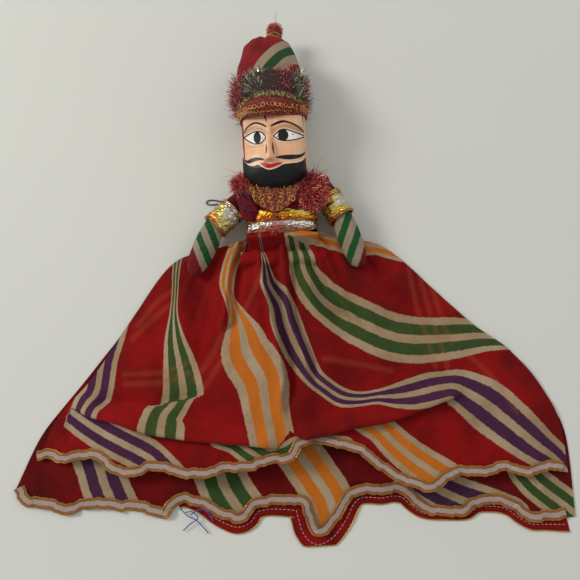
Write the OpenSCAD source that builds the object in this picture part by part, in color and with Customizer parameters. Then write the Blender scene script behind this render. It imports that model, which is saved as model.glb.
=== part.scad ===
// A string puppet with a carved wooden head, stuffed cloth arms and a long gathered skirt, lying
// on its back. X runs across the puppet, Y from the hem towards the head, Z up from the surface.
// The modules use puppet coordinates, whose Y is 0 at the waist; place() moves them so that the
// origin is below the middle of the whole puppet.

/* [Whole puppet] */
// Height of the tuft's tip above the waist
crown_y = 216; // [214:1:220]
// Length of the skirt's back panel below the waist
hem_y = 241; // [235:1:250]

/* [Head] */
// Radius of the carved crown under the turban
crown_r = 25; // [24.5:0.5:25]
// Height of the head's axis above the surface
head_z = 32; // [31.5:0.5:33]
// Half the width of the painted face
face_half = 28.5; // [27.5:0.5:28.5]

/* [Torso] */
// Width of the stuffed bodice
torso_w = 58; // [56:1:58]
// Thickness of the stuffed bodice
torso_t = 30; // [29:0.5:31]

/* [Arms] */
// Distance from the shoulder stitch to the elbow stitch
upper_l = 36; // [35:0.5:37]
// Distance from the elbow stitch to the end of the hand
fore_l = 45.5; // [44:0.5:47]
// Radius of the stuffed upper arm
arm_r = 10.6; // [10:0.2:10.8]
// Height of the arms' middle above the surface
arm_z = 17; // [17:0.5:18]

/* [Skirt] */
// Half the width of the skirt where it is gathered
gather_half = 34; // [32:1:34]
// Half the width of the back hem
hem_half = 228; // [220:1:232]
// How high the front panel arches over the back one
arch_h = 18; // [14:1:18]

/* [Control string] */
// Diameter of the string
string_d = 1; // [1:0.1:1.2]

/* [Hidden] */
$fn = 48;
eps = 0.01;
gap = 0.2;              // air between neighbours that are laid on each other
mid_y = (hem_y - crown_y) / 2;

// Head, turban and trims, along Y
chin_y = 43;
brow_y = 107.8;
band_y = [108, 119.6];
crown_top = 190;
cloth_t = 2;
wrap_r = crown_r + gap + cloth_t;
band_r = [wrap_r + gap, wrap_r + gap + 1.7];
garland_r = [wrap_r + gap, wrap_r + gap + 3.6];
garland_y = [120.2, 147];
binding_y = [196, 204.5];
knob_r = 5.75;

// Torso
torso_y = [2, 46];
torso_mid = torso_t / 2 + 1.4;
plank = [44, 42, 16];
neck_r = 12;
neck_z = 19;
foil_t = 1.2;
chest_foil_y = [12.4, 23.6];
waist_foil_y = [4, 12.2];
thread_y = [2, 3.8];

// Shoulders and arms: [shoulder point, direction of the upper arm, direction of the forearm]
left_pose = [[-33, 43], 223, 245];
right_pose = [[34.5, 53], 300, 286];
tab_r = 6;
tab_t = 7;
lift_s = 9;             // lift axis, measured from the shoulder stitch
sleeve_s = [13, 31];    // the stuffed upper arm
cuff_s = [12.5, 34];    // the foil round it
thread_r = 0.8;
run_gap = 0.1;
ear_r = 5;
ear_z = [arm_z - 8, arm_z + 8];

// Waist and skirt
sway_y = -2;            // vertical stitch that the skirt sways on
draw_y = -11;           // drawstring that the skirt swings on
draw_z = 14;
draw_r = 1.6;
casing_r = 5;
casing_x = [7, 30];
tie_r = 5;
panel_y = draw_y - casing_r - 0.1;
front_l = 166;
cloth = 1.4;            // cloth thickness of the panels
trim_v = 0.955;         // share of the panel's length where the hem trim starts
flat_z = 3.6;           // underside of the front panel away from its arch

// Sides of the two panels: [share of the length, x, y]
front_left = [[0, -34, -16], [0.15, -84, -14], [0.3, -108, -36], [0.5, -138, -82], [0.75, -174, -127],
              [1, -206, -172]];
front_right = [[0, 34, -16], [0.15, 84, -8], [0.3, 116, -28], [0.5, 156, -68], [0.75, 196, -118],
               [1, 223, -198]];
back_left = [[0, -34, -16], [0.15, -82, -18], [0.3, -106, -42], [0.5, -141, -92], [0.75, -186, -148],
             [1, -226, -200]];
back_right = [[0, 34, -16], [0.15, 83, -12], [0.3, 115, -36], [0.5, 157, -82], [0.75, 203, -142],
              [1, 228, -234]];

// Route of the control string from the neck knot round its loop to the coil, chosen by hand
string_r = string_d / 2;
string_route = [
    [-3, 55, 6.4], [-4, 57, 4], [-7, 59, 1.8], [-12, 61, 0.9], [-20, 62.6, 0.7], [-29, 62.6, 0.7],
    [-36, 60, 0.7], [-42, 54.6, 0.7], [-48, 49.6, 0.7], [-54, 49.4, 0.7], [-61, 50.8, 0.7],
    [-65, 51, 0.7], [-67.4, 49.6, 0.7], [-67.2, 47.6, 0.7], [-65, 46.6, 0.7], [-61, 46.6, 0.7],
    [-54, 47, 0.7], [-48, 47.8, 0.7], [-42, 52.6, 0.7], [-36, 57.6, 0.7], [-29, 60, 0.7],
    [-20, 60, 0.7], [-12, 57.6, 0.7], [-6, 54.4, 0.7], [-2, 52.2, 0.7], [2.2, 50.6, 0.7]
];
loop_knot_at = [-48, 48.7, 1.5];
coil_at = [7.4, 57];
coil_r = [3.6, 8];
coil_h = 6.4;

// ---------- helpers ----------

module place() { translate([0, mid_y, 0]) children(); }

// A solid of revolution round the head's axis; the profile is [radius, y] points
module head_turn(profile) {
    translate([0, 0, head_z]) rotate([-90, 0, 0]) rotate_extrude($fn = 72) polygon(profile);
}

// A bar along Y with four rounded long edges, made of plain boxes and rods
module soft_bar(w, t, r, y0, y1, z_mid) {
    l = y1 - y0;
    translate([-w / 2 + r, y0, z_mid - t / 2]) cube([w - 2 * r, l, t]);
    translate([-w / 2, y0, z_mid - t / 2 + r]) cube([w, l, t - 2 * r]);
    for (sx = [-1, 1], sz = [-1, 1])
        translate([sx * (w / 2 - r), y0, z_mid + sz * (t / 2 - r)])
            rotate([-90, 0, 0]) cylinder(r = r, h = l);
}

// A ring round the torso, foil_t thick by default
module torso_ring(span, inner, outer) {
    difference() {
        soft_bar(torso_w + 2 * outer, torso_t + 2 * outer, 11 + outer, span[0], span[1], torso_mid);
        soft_bar(torso_w + 2 * inner, torso_t + 2 * inner, 11 + inner, span[0] - 1, span[1] + 1,
                 torso_mid);
    }
}

// An upright rod, for stitches
module rod(at, r, z0, z1) {
    translate([at[0], at[1], z0]) cylinder(r = r, h = z1 - z0, $fn = 24);
}

// Moves its children, drawn along +X from the origin, onto an arm with that pose
module along_arm(pose) {
    translate([pose[0][0], pose[0][1], arm_z]) rotate([0, 0, pose[1]]) children();
}

function elbow(pose) = pose[0] + upper_l * [cos(pose[1]), sin(pose[1])];

module along_forearm(pose) {
    e = elbow(pose);
    translate([e[0], e[1], arm_z]) rotate([0, 0, pose[2]]) children();
}

module across(r, half) { rotate([90, 0, 0]) translate([0, 0, -half]) cylinder(r = r, h = 2 * half); }

// ---------- skirt shape ----------

function smooth(t) = let (c = max(0, min(1, t))) c * c * (3 - 2 * c);
function side_at(side, v, k) = lookup(v, [for (p = side) [p[0], p[k]]]);
function hem_wave(u) = 5 * sin(540 * u + 40) + 3 * sin(1150 * u);

function arch(u, v) =
    let (c = 0.35 + 0.62 * pow(v, 0.8), q = min(1, abs(u) / c))
    (arch_h - 2 * v) * pow(1 - q * q, 1.3) * smooth(v / 0.12);

function on_panel(u, v, left, right, y) =
    let (side = u < 0 ? left : right, x = side_at(side, v, 1), bend = pow(abs(u), 1.8))
    [abs(u) * x, y + (side_at(side, v, 2) - y) * bend, 0];

function front_at(u, v) =
    on_panel(u, v, front_left, front_right, panel_y - front_l * v)
    + [0, hem_wave(u) * pow(v, 3) * (1 - abs(u)),
       flat_z + arch(u, v) + (draw_z - flat_z - cloth / 2) * (1 - smooth(v / 0.1)) * (1 - 0.6 * abs(u))
       + 0.4 * pow(v, 4) * (1 + sin(900 * u))];

function back_at(u, v) =
    on_panel(u, v, back_left, back_right, panel_y - (hem_y + panel_y) * v)
    + [0, 3 * pow(v, 3) * sin(900 * u) * (1 - abs(u)) * abs(u),
       (draw_z - cloth / 2 - 3) * (1 - smooth(v / 0.07)) * (1 - 0.6 * abs(u))];

// A closed sheet over a grid of points, thick upwards, between two shares of the panel's length
module panel(at, v0, v1, nu, nv, thick) {
    us = [for (i = [0:nu]) -1 + 2 * i / nu];
    vs = [for (j = [0:nv]) v0 + (v1 - v0) * j / nv];
    low = [for (v = vs, u = us) at(u, v)];
    high = [for (p = low) p + [0, 0, thick]];
    n = len(low);
    w = nu + 1;
    quads = [for (j = [0:nv - 1], i = [0:nu - 1]) [j * w + i, j * w + i + 1, (j + 1) * w + i + 1, (j + 1) * w + i]];
    tris = [for (q = quads) each [[q[0], q[1], q[2]], [q[0], q[2], q[3]]]];
    rim = concat([for (i = [0:nu]) i], [for (j = [1:nv]) j * w + nu],
                 [for (i = [nu - 1:-1:0]) nv * w + i], [for (j = [nv - 1:-1:1]) j * w]);
    m = len(rim);
    walls = [for (k = [0:m - 1]) let (a = rim[k], b = rim[(k + 1) % m])
             each [[a, a + n, b + n], [a, b + n, b]]];
    polyhedron(points = concat(low, high),
               faces = concat(walls, [for (t = tris) [t[2] + n, t[1] + n, t[0] + n]], tris));
}

// ---------- head ----------

module face_block() {
    hull() {
        for (x = [-1, 1]) {
            translate([x * (face_half - 12), 70, head_z + 6]) rotate([-90, 0, 0])
                cylinder(r = 12, h = brow_y - 70, $fn = 32);
            translate([x * (face_half - 14), 68, head_z - 8]) rotate([-90, 0, 0])
                cylinder(r = 14, h = brow_y - 68, $fn = 32);
            translate([x * 8, chin_y + 14, head_z + 4]) sphere(r = 14, $fn = 32);
        }
        translate([0, 74, head_z + 16]) rotate([-90, 0, 0])
            cylinder(r = 4, h = brow_y - 74, $fn = 32);
    }
    hull() {
        translate([0, 60, head_z + 23]) sphere(r = 3.4, $fn = 24);
        translate([0, 94, head_z + 16]) sphere(r = 3, $fn = 24);
        for (x = [-5, 5]) translate([x, 62, head_z + 15]) sphere(r = 3, $fn = 24);
    }
}

module carved_head() {
    color("burlywood") {
        face_block();
        head_turn(concat([[0, brow_y - 2], [crown_r, brow_y - 2]],
                         [for (a = [0:10:90]) [crown_r * cos(a), 160 + (crown_top - 160) * sin(a)]]));
        translate([0, torso_y[0] + 38, neck_z]) rotate([-90, 0, 0])
            cylinder(r = neck_r, h = 26);
        translate([-plank[0] / 2, torso_y[0] + 2, torso_mid - plank[2] / 2]) cube(plank);
    }
}

module turban_wrap() {
    color("firebrick") head_turn(concat(
        [[crown_r + gap, band_y[0]], [wrap_r, band_y[0]]],
        [for (a = [0:7.5:90]) [wrap_r * cos(a), 158 + (binding_y[0] - 158) * sin(a)]],
        [for (a = [90:-10:0])
            [(crown_r + gap) * cos(a), 160 + (crown_top + gap - 160) * sin(a)]]));
}

module knob_binding() {
    color("goldenrod") head_turn([[0, binding_y[0] + 0.1], [6.4, binding_y[0] + 0.1],
        [7, binding_y[0] + 3], [6.2, binding_y[1]], [0, binding_y[1]]]);
}

module turban_knob() {
    color("crimson") translate([0, crown_y - knob_r, head_z]) sphere(r = knob_r);
}

module turban_garland() {
    color("darkgreen") head_turn([[garland_r[0], garland_y[0]], [garland_r[1] - 1, garland_y[0]],
        [garland_r[1], garland_y[0] + 3], [garland_r[1], garland_y[1] - 3],
        [garland_r[1] - 1, garland_y[1]], [garland_r[0], garland_y[1]]]);
}

module forehead_band() {
    color("orangered") head_turn([[band_r[0], band_y[0]], [band_r[1], band_y[0]],
        [band_r[1], band_y[1]], [band_r[0], band_y[1]]]);
}

// ---------- torso ----------

// The cloth block at one shoulder, slotted for the arm's tab and drilled for its stitch
module shoulder_ear(pose) {
    s = pose[0];
    side = sign(s[0]);
    rod(s, ear_r, ear_z[0], ear_z[1]);
    translate([side > 0 ? 24 : s[0], s[1] - 4.4, ear_z[0]])
        cube([abs(s[0]) - 24, 4.4 + ear_r, ear_z[1] - ear_z[0]]);
    translate([side > 0 ? 23.5 : -27.5, 36, ear_z[0]])
        cube([4, s[1] + ear_r - 36, torso_t + 1.4 - ear_z[0]]);
}

module bodice() {
    color("darkred") difference() {
        union() {
            soft_bar(torso_w, torso_t, 11, torso_y[0], torso_y[1], torso_mid);
            for (p = [left_pose, right_pose]) shoulder_ear(p);
            translate([-tie_r, sway_y - 4, 5]) cube([2 * tie_r, torso_y[0] - sway_y + 4, 18]);
        }
        // Room for the carved plank and neck
        translate([-plank[0] / 2 - gap, torso_y[0] + 2 - gap, torso_mid - plank[2] / 2 - gap])
            cube(plank + [2 * gap, 2 * gap, 2 * gap]);
        translate([0, torso_y[0] + 37, neck_z]) rotate([-90, 0, 0])
            cylinder(r = neck_r + gap, h = 20);
        // Room for the beard
        translate([-23.4, chin_y - gap, 21]) cube([46.8, 20, 20]);
        // The arms' tabs turn in these two pockets, round their stitches
        for (p = [left_pose, right_pose]) {
            rod(p[0], tab_r + 0.4, arm_z - tab_t / 2 - 0.3, arm_z + tab_t / 2 + 0.3);
            rod(p[0], thread_r, 0, 60);
        }
        // Slot and drilling for the waist tie
        translate([-20, sway_y - 10, draw_z - 4]) cube([40, torso_y[0] - sway_y + 11.5, 8]);
        rod([0, sway_y], 1, 0, 40);
    }
}

module chest_foil() { color("gold") torso_ring(chest_foil_y, 0.1, 0.1 + foil_t); }
module waist_foil() { color("silver") torso_ring(waist_foil_y, 0.1, 0.1 + foil_t); }
module waist_thread() { color("red") torso_ring(thread_y, 0.1, 0.1 + foil_t); }
module waist_stitch() { color("red") rod([0, sway_y], 1, 5, 23); }

// The woven trim that lies in a V on the chest
module collar_trim() {
    color("orangered") translate([0, 0, torso_t + 1.6]) linear_extrude(1.8)
        polygon([[-6, 24.2], [6, 24.2], [17, 34], [22, 42.4], [14, 42.4], [8, 38], [0, 36], [-8, 38],
                 [-14, 42.4], [-22, 42.4], [-17, 34]]);
}

// The cloth patch over a shoulder
module yoke(pose) {
    s = pose[0];
    side = sign(s[0]);
    translate([0, 0, ear_z[1] + gap]) linear_extrude(1.2) difference() {
        polygon([[side * 29.6, s[1] - 4], [side * 34, s[1] - 5], [side * 37, s[1] - 1],
                 [side * 36, s[1] + 4], [side * 29.6, s[1] + 5]]);
        translate(s) circle(r = thread_r + 0.05, $fn = 24);
    }
}

module left_yoke() { color("maroon") yoke(left_pose); }
module right_yoke() { color("maroon") yoke(right_pose); }

// A bunch of tinsel strands beside the neck
module tinsel(pose) {
    side = sign(pose[0][0]);
    hull() {
        translate([side * 26.5, 46, 35.4]) sphere(r = 3.4, $fn = 24);
        translate([side * 29, 50, 36]) sphere(r = 4, $fn = 24);
        translate([side * 30, 56, 35.6]) sphere(r = 3.6, $fn = 24);
    }
}

module left_tinsel() { color("crimson") tinsel(left_pose); }
module right_tinsel() { color("crimson") tinsel(right_pose); }

module shoulder_thread(pose) { rod(pose[0], thread_r, ear_z[0], ear_z[1] + 1.5); }
module left_shoulder_thread() { color("navy") shoulder_thread(left_pose); }
module right_shoulder_thread() { color("navy") shoulder_thread(right_pose); }

// ---------- control string ----------

// The knot that ties the string round the back of the neck
module neck_knot() {
    color("midnightblue") difference() {
        translate([-3, 54.2, 6]) sphere(r = 1.8, $fn = 32);
        translate([0, 50, neck_z]) rotate([-90, 0, 0])
            cylinder(r = neck_r + 0.05, h = 20);
    }
}

module string_loop_knot() { color("midnightblue") translate(loop_knot_at) sphere(r = 1.4, $fn = 32); }

function unit(p) = p / norm(p);
function tangent(p, i) = unit(p[min(i + 1, len(p) - 1)] - p[max(i - 1, 0)]);

// A curve through the route's points, with steps between neighbours
function curve(p, steps) = [
    for (i = [0:len(p) - 2], k = [0:steps - 1])
        let (t = k / steps, a = p[max(i - 1, 0)], b = p[i], c = p[i + 1],
             d = p[min(i + 2, len(p) - 1)])
        0.5 * ((2 * b) + (c - a) * t + (2 * a - 5 * b + 4 * c - d) * t * t
               + (3 * b - a - 3 * c + d) * t * t * t),
    p[len(p) - 1]
];

module sweep(p, r, sides) {
    rings = [for (i = [0:len(p) - 1])
        let (t = tangent(p, i), n = unit(cross(t, [0.02, 0.01, 1])), b = cross(t, n))
        each [for (k = [0:sides - 1]) p[i] + r * (cos(360 * k / sides) * n + sin(360 * k / sides) * b)]];
    last = len(p) - 1;
    side = [for (i = [0:last - 1], k = [0:sides - 1])
        let (a = i * sides + k, b = i * sides + (k + 1) % sides)
        each [[a, a + sides, b + sides], [a, b + sides, b]]];
    polyhedron(points = rings, faces = concat(side, [[for (k = [0:sides - 1]) k]],
        [[for (k = [sides - 1:-1:0]) last * sides + k]]));
}

module control_string() { color("midnightblue") sweep(curve(string_route, 3), string_r, 8); }

module string_coil() {
    color("midnightblue") translate([coil_at[0], coil_at[1], 0]) rotate_extrude($fn = 64)
        polygon([[coil_r[0], 0.1], [coil_r[1] - 0.8, 0.1], [coil_r[1], 0.9], [coil_r[1], coil_h - 0.8],
                 [coil_r[1] - 0.8, coil_h], [coil_r[0] + 0.6, coil_h], [coil_r[0], coil_h - 0.6]]);
}

// The string's other end is sewn to the top of the bodice
module string_end_knot() {
    color("midnightblue") translate([13, torso_y[1] + 1.5, 5]) sphere(r = 1.5, $fn = 32);
}

// ---------- arms ----------

// The flat tab of cloth that is stitched to the shoulder and carries the arm
module arm_tab(pose) {
    along_arm(pose) difference() {
        union() {
            translate([0, 0, -tab_t / 2]) cylinder(r = tab_r, h = tab_t);
            translate([0, -6, -tab_t / 2]) cube([lift_s, 12, tab_t]);
            translate([lift_s, 0, 0]) across(tab_t / 2, 6);
        }
        translate([0, 0, -10]) cylinder(r = thread_r + run_gap, h = 20, $fn = 24);
        translate([lift_s, 0, 0]) across(thread_r + run_gap, 20);
    }
}

// Stuffed upper arm: a padded sleeve with two cheeks for the tab and two for the forearm's tongue
module upper_arm(pose) {
    along_arm(pose) difference() {
        union() {
            translate([sleeve_s[0], 0, 0]) rotate([0, 90, 0])
                cylinder(r = arm_r, h = sleeve_s[1] - sleeve_s[0]);
            for (side = [-1, 1]) {
                translate([lift_s, side * 8 - 1.2, -3]) cube([8, 2.4, 6]);
                translate([lift_s, side * 8, 0]) across(3, 1.2);
                translate([sleeve_s[1] - 3, -4, side * 6.4 - 1.4])
                    cube([upper_l - sleeve_s[1] + 3, 8, 2.8]);
                translate([upper_l, 0, side * 6.4 - 1.4]) cylinder(r = 4, h = 2.8);
            }
        }
        translate([lift_s, 0, 0]) across(thread_r, 20);
        translate([lift_s, 0, 0]) across(tab_t / 2 + 0.8, 6.4);
        translate([upper_l, 0, -20]) cylinder(r = thread_r, h = 40, $fn = 24);
    }
}

module armlet(pose) {
    along_arm(pose) translate([cuff_s[0], 0, 0]) rotate([0, 90, 0]) difference() {
        cylinder(r = arm_r + 1, h = cuff_s[1] - cuff_s[0]);
        translate([0, 0, -1]) cylinder(r = arm_r + 0.1, h = 40);
    }
}

module arm_thread(pose) { along_arm(pose) translate([lift_s, 0, 0]) across(thread_r, 9.2); }

module elbow_thread(pose) {
    along_arm(pose) translate([upper_l, 0, -7.8]) cylinder(r = thread_r, h = 15.6, $fn = 24);
}

module forearm(pose) {
    along_forearm(pose) difference() {
        union() {
            translate([0, 0, -4.6]) cylinder(r = 4.5, h = 9.2);
            translate([0, -4.5, -4.6]) cube([8, 9, 9.2]);
            hull() {
                translate([8, 0, 0]) rotate([0, 90, 0]) cylinder(r = 6, h = 2, $fn = 32);
                translate([14, 0, 0]) rotate([0, 90, 0]) cylinder(r = 9.6, h = 6, $fn = 32);
                translate([fore_l - 13, 0, 0]) rotate([0, 90, 0]) cylinder(r = 8.2, h = 2, $fn = 32);
            }
        }
        translate([0, 0, -20]) cylinder(r = thread_r + run_gap, h = 40, $fn = 24);
    }
}

// The folded end of the sleeve that stands for the hand
module hand(pose) {
    along_forearm(pose) intersection() {
        hull() {
            translate([fore_l - 12, 0, 0]) sphere(r = 8, $fn = 32);
            translate([fore_l - 5, 1, 0]) sphere(r = 5, $fn = 32);
        }
        translate([fore_l - 11 + gap, -20, -20]) cube(40);
    }
}

module left_arm_tab() { color("maroon") arm_tab(left_pose); }
module left_upper_arm() { color("forestgreen") upper_arm(left_pose); }
module left_armlet() { color("gold") armlet(left_pose); }
module left_arm_thread() { color("navy") arm_thread(left_pose); }
module left_elbow_thread() { color("navy") elbow_thread(left_pose); }
module left_forearm() { color("forestgreen") forearm(left_pose); }
module left_hand() { color("firebrick") hand(left_pose); }
module right_arm_tab() { color("maroon") arm_tab(right_pose); }
module right_upper_arm() { color("forestgreen") upper_arm(right_pose); }
module right_armlet() { color("gold") armlet(right_pose); }
module right_arm_thread() { color("navy") arm_thread(right_pose); }
module right_elbow_thread() { color("navy") elbow_thread(right_pose); }
module right_forearm() { color("forestgreen") forearm(right_pose); }
module right_hand() { color("firebrick") hand(right_pose); }

// ---------- waist and skirt ----------

// The drawstring that the skirt is gathered on
module waist_cord() {
    color("crimson") translate([-casing_x[1] - 3, draw_y, draw_z]) rotate([0, 90, 0])
        cylinder(r = draw_r, h = 2 * casing_x[1] + 6);
}

// The cloth loop that holds the drawstring to the vertical stitch under the bodice
module waist_tie() {
    color("maroon") difference() {
        union() {
            rod([0, sway_y], tie_r - 1.6, draw_z - 3.5, draw_z + 3.5);
            translate([-3.4, draw_y, draw_z - 3.5]) cube([6.8, sway_y - draw_y, 7]);
            translate([-3.4, draw_y, draw_z]) rotate([0, 90, 0]) cylinder(r = 3.5, h = 6.8);
        }
        rod([0, sway_y], 1 + run_gap, 0, 40);
        translate([-20, draw_y, draw_z]) rotate([0, 90, 0]) cylinder(r = draw_r, h = 40);
    }
}

module skirt_casing() {
    color("firebrick") for (side = [-1, 1])
        translate([side > 0 ? casing_x[0] : -casing_x[1], draw_y, draw_z]) rotate([0, 90, 0])
            difference() {
                cylinder(r = casing_r, h = casing_x[1] - casing_x[0]);
                translate([0, 0, -1]) cylinder(r = draw_r + run_gap, h = 40);
            }
}

module skirt_front() {
    color("firebrick") panel(function(u, v) front_at(u, v), 0, trim_v, 44, 16, cloth);
}
module skirt_back() {
    color("firebrick") panel(function(u, v) back_at(u, v), 0, trim_v, 44, 16, cloth);
}
module front_hem_trim() {
    color("orange") panel(function(u, v) front_at(u, v) - [0, 0, 0.3], trim_v + 0.0004, 1, 44, 2, cloth + 0.6);
}
module back_hem_trim() {
    color("orange") panel(function(u, v) back_at(u, v), trim_v + 0.0004, 1, 44, 2, cloth + 0.6);
}

// ---------- what is drawn ----------

place() carved_head();
place() turban_wrap();
place() turban_knob();
place() knob_binding();
place() turban_garland();
place() forehead_band();
place() bodice();
place() chest_foil();
place() waist_foil();
place() waist_thread();
place() waist_stitch();
place() collar_trim();
place() left_yoke();
place() right_yoke();
place() left_tinsel();
place() right_tinsel();
place() left_shoulder_thread();
place() right_shoulder_thread();
place() neck_knot();
place() control_string();
place() string_loop_knot();
place() string_coil();
place() string_end_knot();
place() left_arm_tab();
place() left_upper_arm();
place() left_armlet();
place() left_arm_thread();
place() left_elbow_thread();
place() left_forearm();
place() left_hand();
place() right_arm_tab();
place() right_upper_arm();
place() right_armlet();
place() right_arm_thread();
place() right_elbow_thread();
place() right_forearm();
place() right_hand();
place() waist_cord();
place() waist_tie();
place() skirt_casing();
place() skirt_front();
place() skirt_back();
place() front_hem_trim();
place() back_hem_trim();
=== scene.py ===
import math

import bpy
import numpy as np
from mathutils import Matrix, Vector


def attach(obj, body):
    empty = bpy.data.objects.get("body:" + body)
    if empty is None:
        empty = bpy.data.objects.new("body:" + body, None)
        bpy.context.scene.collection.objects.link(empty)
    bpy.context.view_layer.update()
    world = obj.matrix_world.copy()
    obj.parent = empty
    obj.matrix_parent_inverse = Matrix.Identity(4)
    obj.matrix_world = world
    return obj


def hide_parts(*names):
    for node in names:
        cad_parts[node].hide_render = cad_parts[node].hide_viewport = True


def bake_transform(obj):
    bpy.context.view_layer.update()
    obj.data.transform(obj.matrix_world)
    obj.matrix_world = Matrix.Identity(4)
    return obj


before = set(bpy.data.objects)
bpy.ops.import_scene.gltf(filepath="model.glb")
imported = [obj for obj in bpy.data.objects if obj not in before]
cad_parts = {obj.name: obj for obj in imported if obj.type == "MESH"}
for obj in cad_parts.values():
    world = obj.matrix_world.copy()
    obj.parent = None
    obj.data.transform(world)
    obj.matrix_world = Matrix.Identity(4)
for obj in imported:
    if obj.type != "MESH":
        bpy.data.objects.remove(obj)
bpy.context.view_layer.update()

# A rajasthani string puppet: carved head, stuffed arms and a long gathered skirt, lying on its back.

MIDDLE_Y = 12.5          # millimetres from the waist to the middle of the frame
rng = np.random.default_rng(11)


# ---------- shapes in millimetres: X across, Y from the hem to the head, 0 at the waist, Z up ----------

def metres(points):
    """Millimetres from the waist, as metres in the frame."""
    out = np.array(points, float)
    out[..., 1] += MIDDLE_Y
    return out / 1000


def run_along(line):
    """How far along a line each of its points is."""
    return np.r_[0, np.cumsum(np.linalg.norm(np.diff(line, axis=0), axis=1))]


def unit(v):
    v = np.asarray(v, float)
    return v / np.maximum(np.linalg.norm(v, axis=-1, keepdims=True), 1e-9)


def ease(x, low, high):
    """0 below low, 1 above high, and a smooth step between."""
    t = np.clip((np.asarray(x, float) - low) / (high - low), 0, 1)
    return t * t * (3 - 2 * t)


def smooth_line(points, step=1.0):
    """A smooth curve through the points, cut into even steps."""
    p = np.asarray(points, float)
    q = np.vstack([2 * p[0] - p[1], p, 2 * p[-1] - p[-2]])
    rows = []
    for a, b, c, d in zip(q, q[1:], q[2:], q[3:]):
        t = np.linspace(0, 1, 13)[:-1, None]
        rows.append(0.5 * (2 * b + (c - a) * t + (2 * a - 5 * b + 4 * c - d) * t ** 2
                           + (3 * b - a - 3 * c + d) * t ** 3))
    fine = np.vstack(rows + [p[-1:]])
    run = run_along(fine)
    even = np.linspace(0, run[-1], max(2, int(round(run[-1] / step)) + 1))
    return np.stack([np.interp(even, run, fine[:, k]) for k in range(p.shape[1])], 1)


def beside(line, x, y):
    """Signed distance to the left of a line in plan, how far along it from 0 to 1, and true distance."""
    line = np.asarray(line, float)
    run = run_along(line[:, :2])
    near = np.full(np.shape(x), 1e9)
    side = np.zeros(np.shape(x))
    where = np.zeros(np.shape(x))
    for i, (a, b) in enumerate(zip(line[:-1, :2], line[1:, :2])):
        d = b - a
        long = float(d @ d)
        if long < 1e-9:
            continue
        t = ((x - a[0]) * d[0] + (y - a[1]) * d[1]) / long
        tc = np.clip(t, 0, 1)
        gap = np.hypot(x - a[0] - tc * d[0], y - a[1] - tc * d[1])
        left = (d[0] * (y - a[1]) - d[1] * (x - a[0])) / math.sqrt(long)
        closer = gap < near
        near = np.where(closer, gap, near)
        side = np.where(closer, np.where(left < 0, -gap, gap), side)
        where = np.where(closer, (run[i] + tc * (run[i + 1] - run[i])) / run[-1], where)
    return side, where, near


def stroke(line, x, y):
    """How far a point is outside a brush line whose third value is its width."""
    line = smooth_line(line, 0.4)
    _, where, near = beside(line, x, y)
    run = run_along(line[:, :2])
    return near - np.interp(where, run / run[-1], line[:, 2]) / 2


def inside(outline, x, y):
    """Signed distance outside a closed outline."""
    ring = np.vstack([outline, outline[:1]])
    line = smooth_line(ring, 0.5)
    _, _, near = beside(line, x, y)
    odd = np.zeros(np.shape(x), bool)
    for a, b in zip(line[:-1], line[1:]):
        cut = (a[1] > y) != (b[1] > y)
        with np.errstate(divide="ignore", invalid="ignore"):
            odd ^= cut & (x < (b[0] - a[0]) * (y - a[1]) / (b[1] - a[1]) + a[0])
    return np.where(odd, -near, near)


def grid_faces(rows, cols, around=False, first=0):
    """Four-sided faces of a grid, the columns closed into a ring if asked."""
    r = np.arange(rows - 1)[:, None]
    c = np.arange(cols if around else cols - 1)[None, :]
    n = (c + 1) % cols
    quads = np.stack([r * cols + c, r * cols + n, (r + 1) * cols + n, (r + 1) * cols + c], -1)
    return (quads.reshape(-1, 4) + first).tolist()


def closed_faces(rows, cols):
    """Faces of a grid closed into a ring both ways."""
    last = (rows - 1) * cols
    return grid_faces(rows, cols, around=True) + [
        [last + c, last + (c + 1) % cols, (c + 1) % cols, c] for c in range(cols)]


def piece(name, points, faces, stuff, fields=None, smooth=True):
    """One mesh at the origin, with its place in its points and its fields as attributes."""
    mesh = bpy.data.meshes.new(name)
    mesh.from_pydata(metres(points).tolist(), [], faces)
    for key, value in (fields or {}).items():
        layer = mesh.attributes.new(key, "FLOAT", "POINT")
        layer.data.foreach_set("value", np.ascontiguousarray(np.ravel(value), dtype=np.float32))
    mesh.polygons.foreach_set("use_smooth", [smooth] * len(mesh.polygons))
    mesh.materials.append(stuff)
    obj = bpy.data.objects.new(name, mesh)
    bpy.context.scene.collection.objects.link(obj)
    return obj


def finish_piece(obj, body, slot, *nodes):
    """Says which body the piece moves with and hides the CAD parts it stands for; its material slot is not
    used.
    """
    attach(obj, body)
    if nodes:
        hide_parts(*nodes)
    return obj


def sheet_grid(points):
    """The points and faces of an open grid that faces up."""
    rows, cols = points.shape[:2]
    flip = np.cross(points[0, 1] - points[0, 0], points[1, 0] - points[0, 0])[2] < 0
    faces = grid_faces(rows, cols)
    if flip:
        faces = [f[::-1] for f in faces]
    return points.reshape(-1, 3), faces


def shell(rings):
    """Faces over rings of equal count, with a pole point at each end."""
    rows, cols = rings.shape[:2]
    points = np.vstack([rings.reshape(-1, 3), rings[0].mean(0)[None], rings[-1].mean(0)[None]])
    faces = grid_faces(rows, cols, around=True)
    low, high = rows * cols, rows * cols + 1
    faces += [[(c + 1) % cols, c, low] for c in range(cols)]
    last = (rows - 1) * cols
    faces += [[last + c, last + (c + 1) % cols, high] for c in range(cols)]
    p = points[[f[0] for f in faces]]
    q = points[[f[1] for f in faces]]
    r = points[[f[2] for f in faces]]
    if np.einsum("ij,ij->i", p, np.cross(q, r)).sum() < 0:
        faces = [f[::-1] for f in faces]
    return points, faces


def frames_along(line, up=(0, 0, 1)):
    """Direction, side and top at each point of a line."""
    ahead = unit(np.gradient(line, axis=0))
    side = unit(np.cross(ahead, np.asarray(up, float)))
    return ahead, side, unit(np.cross(side, ahead))


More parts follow.
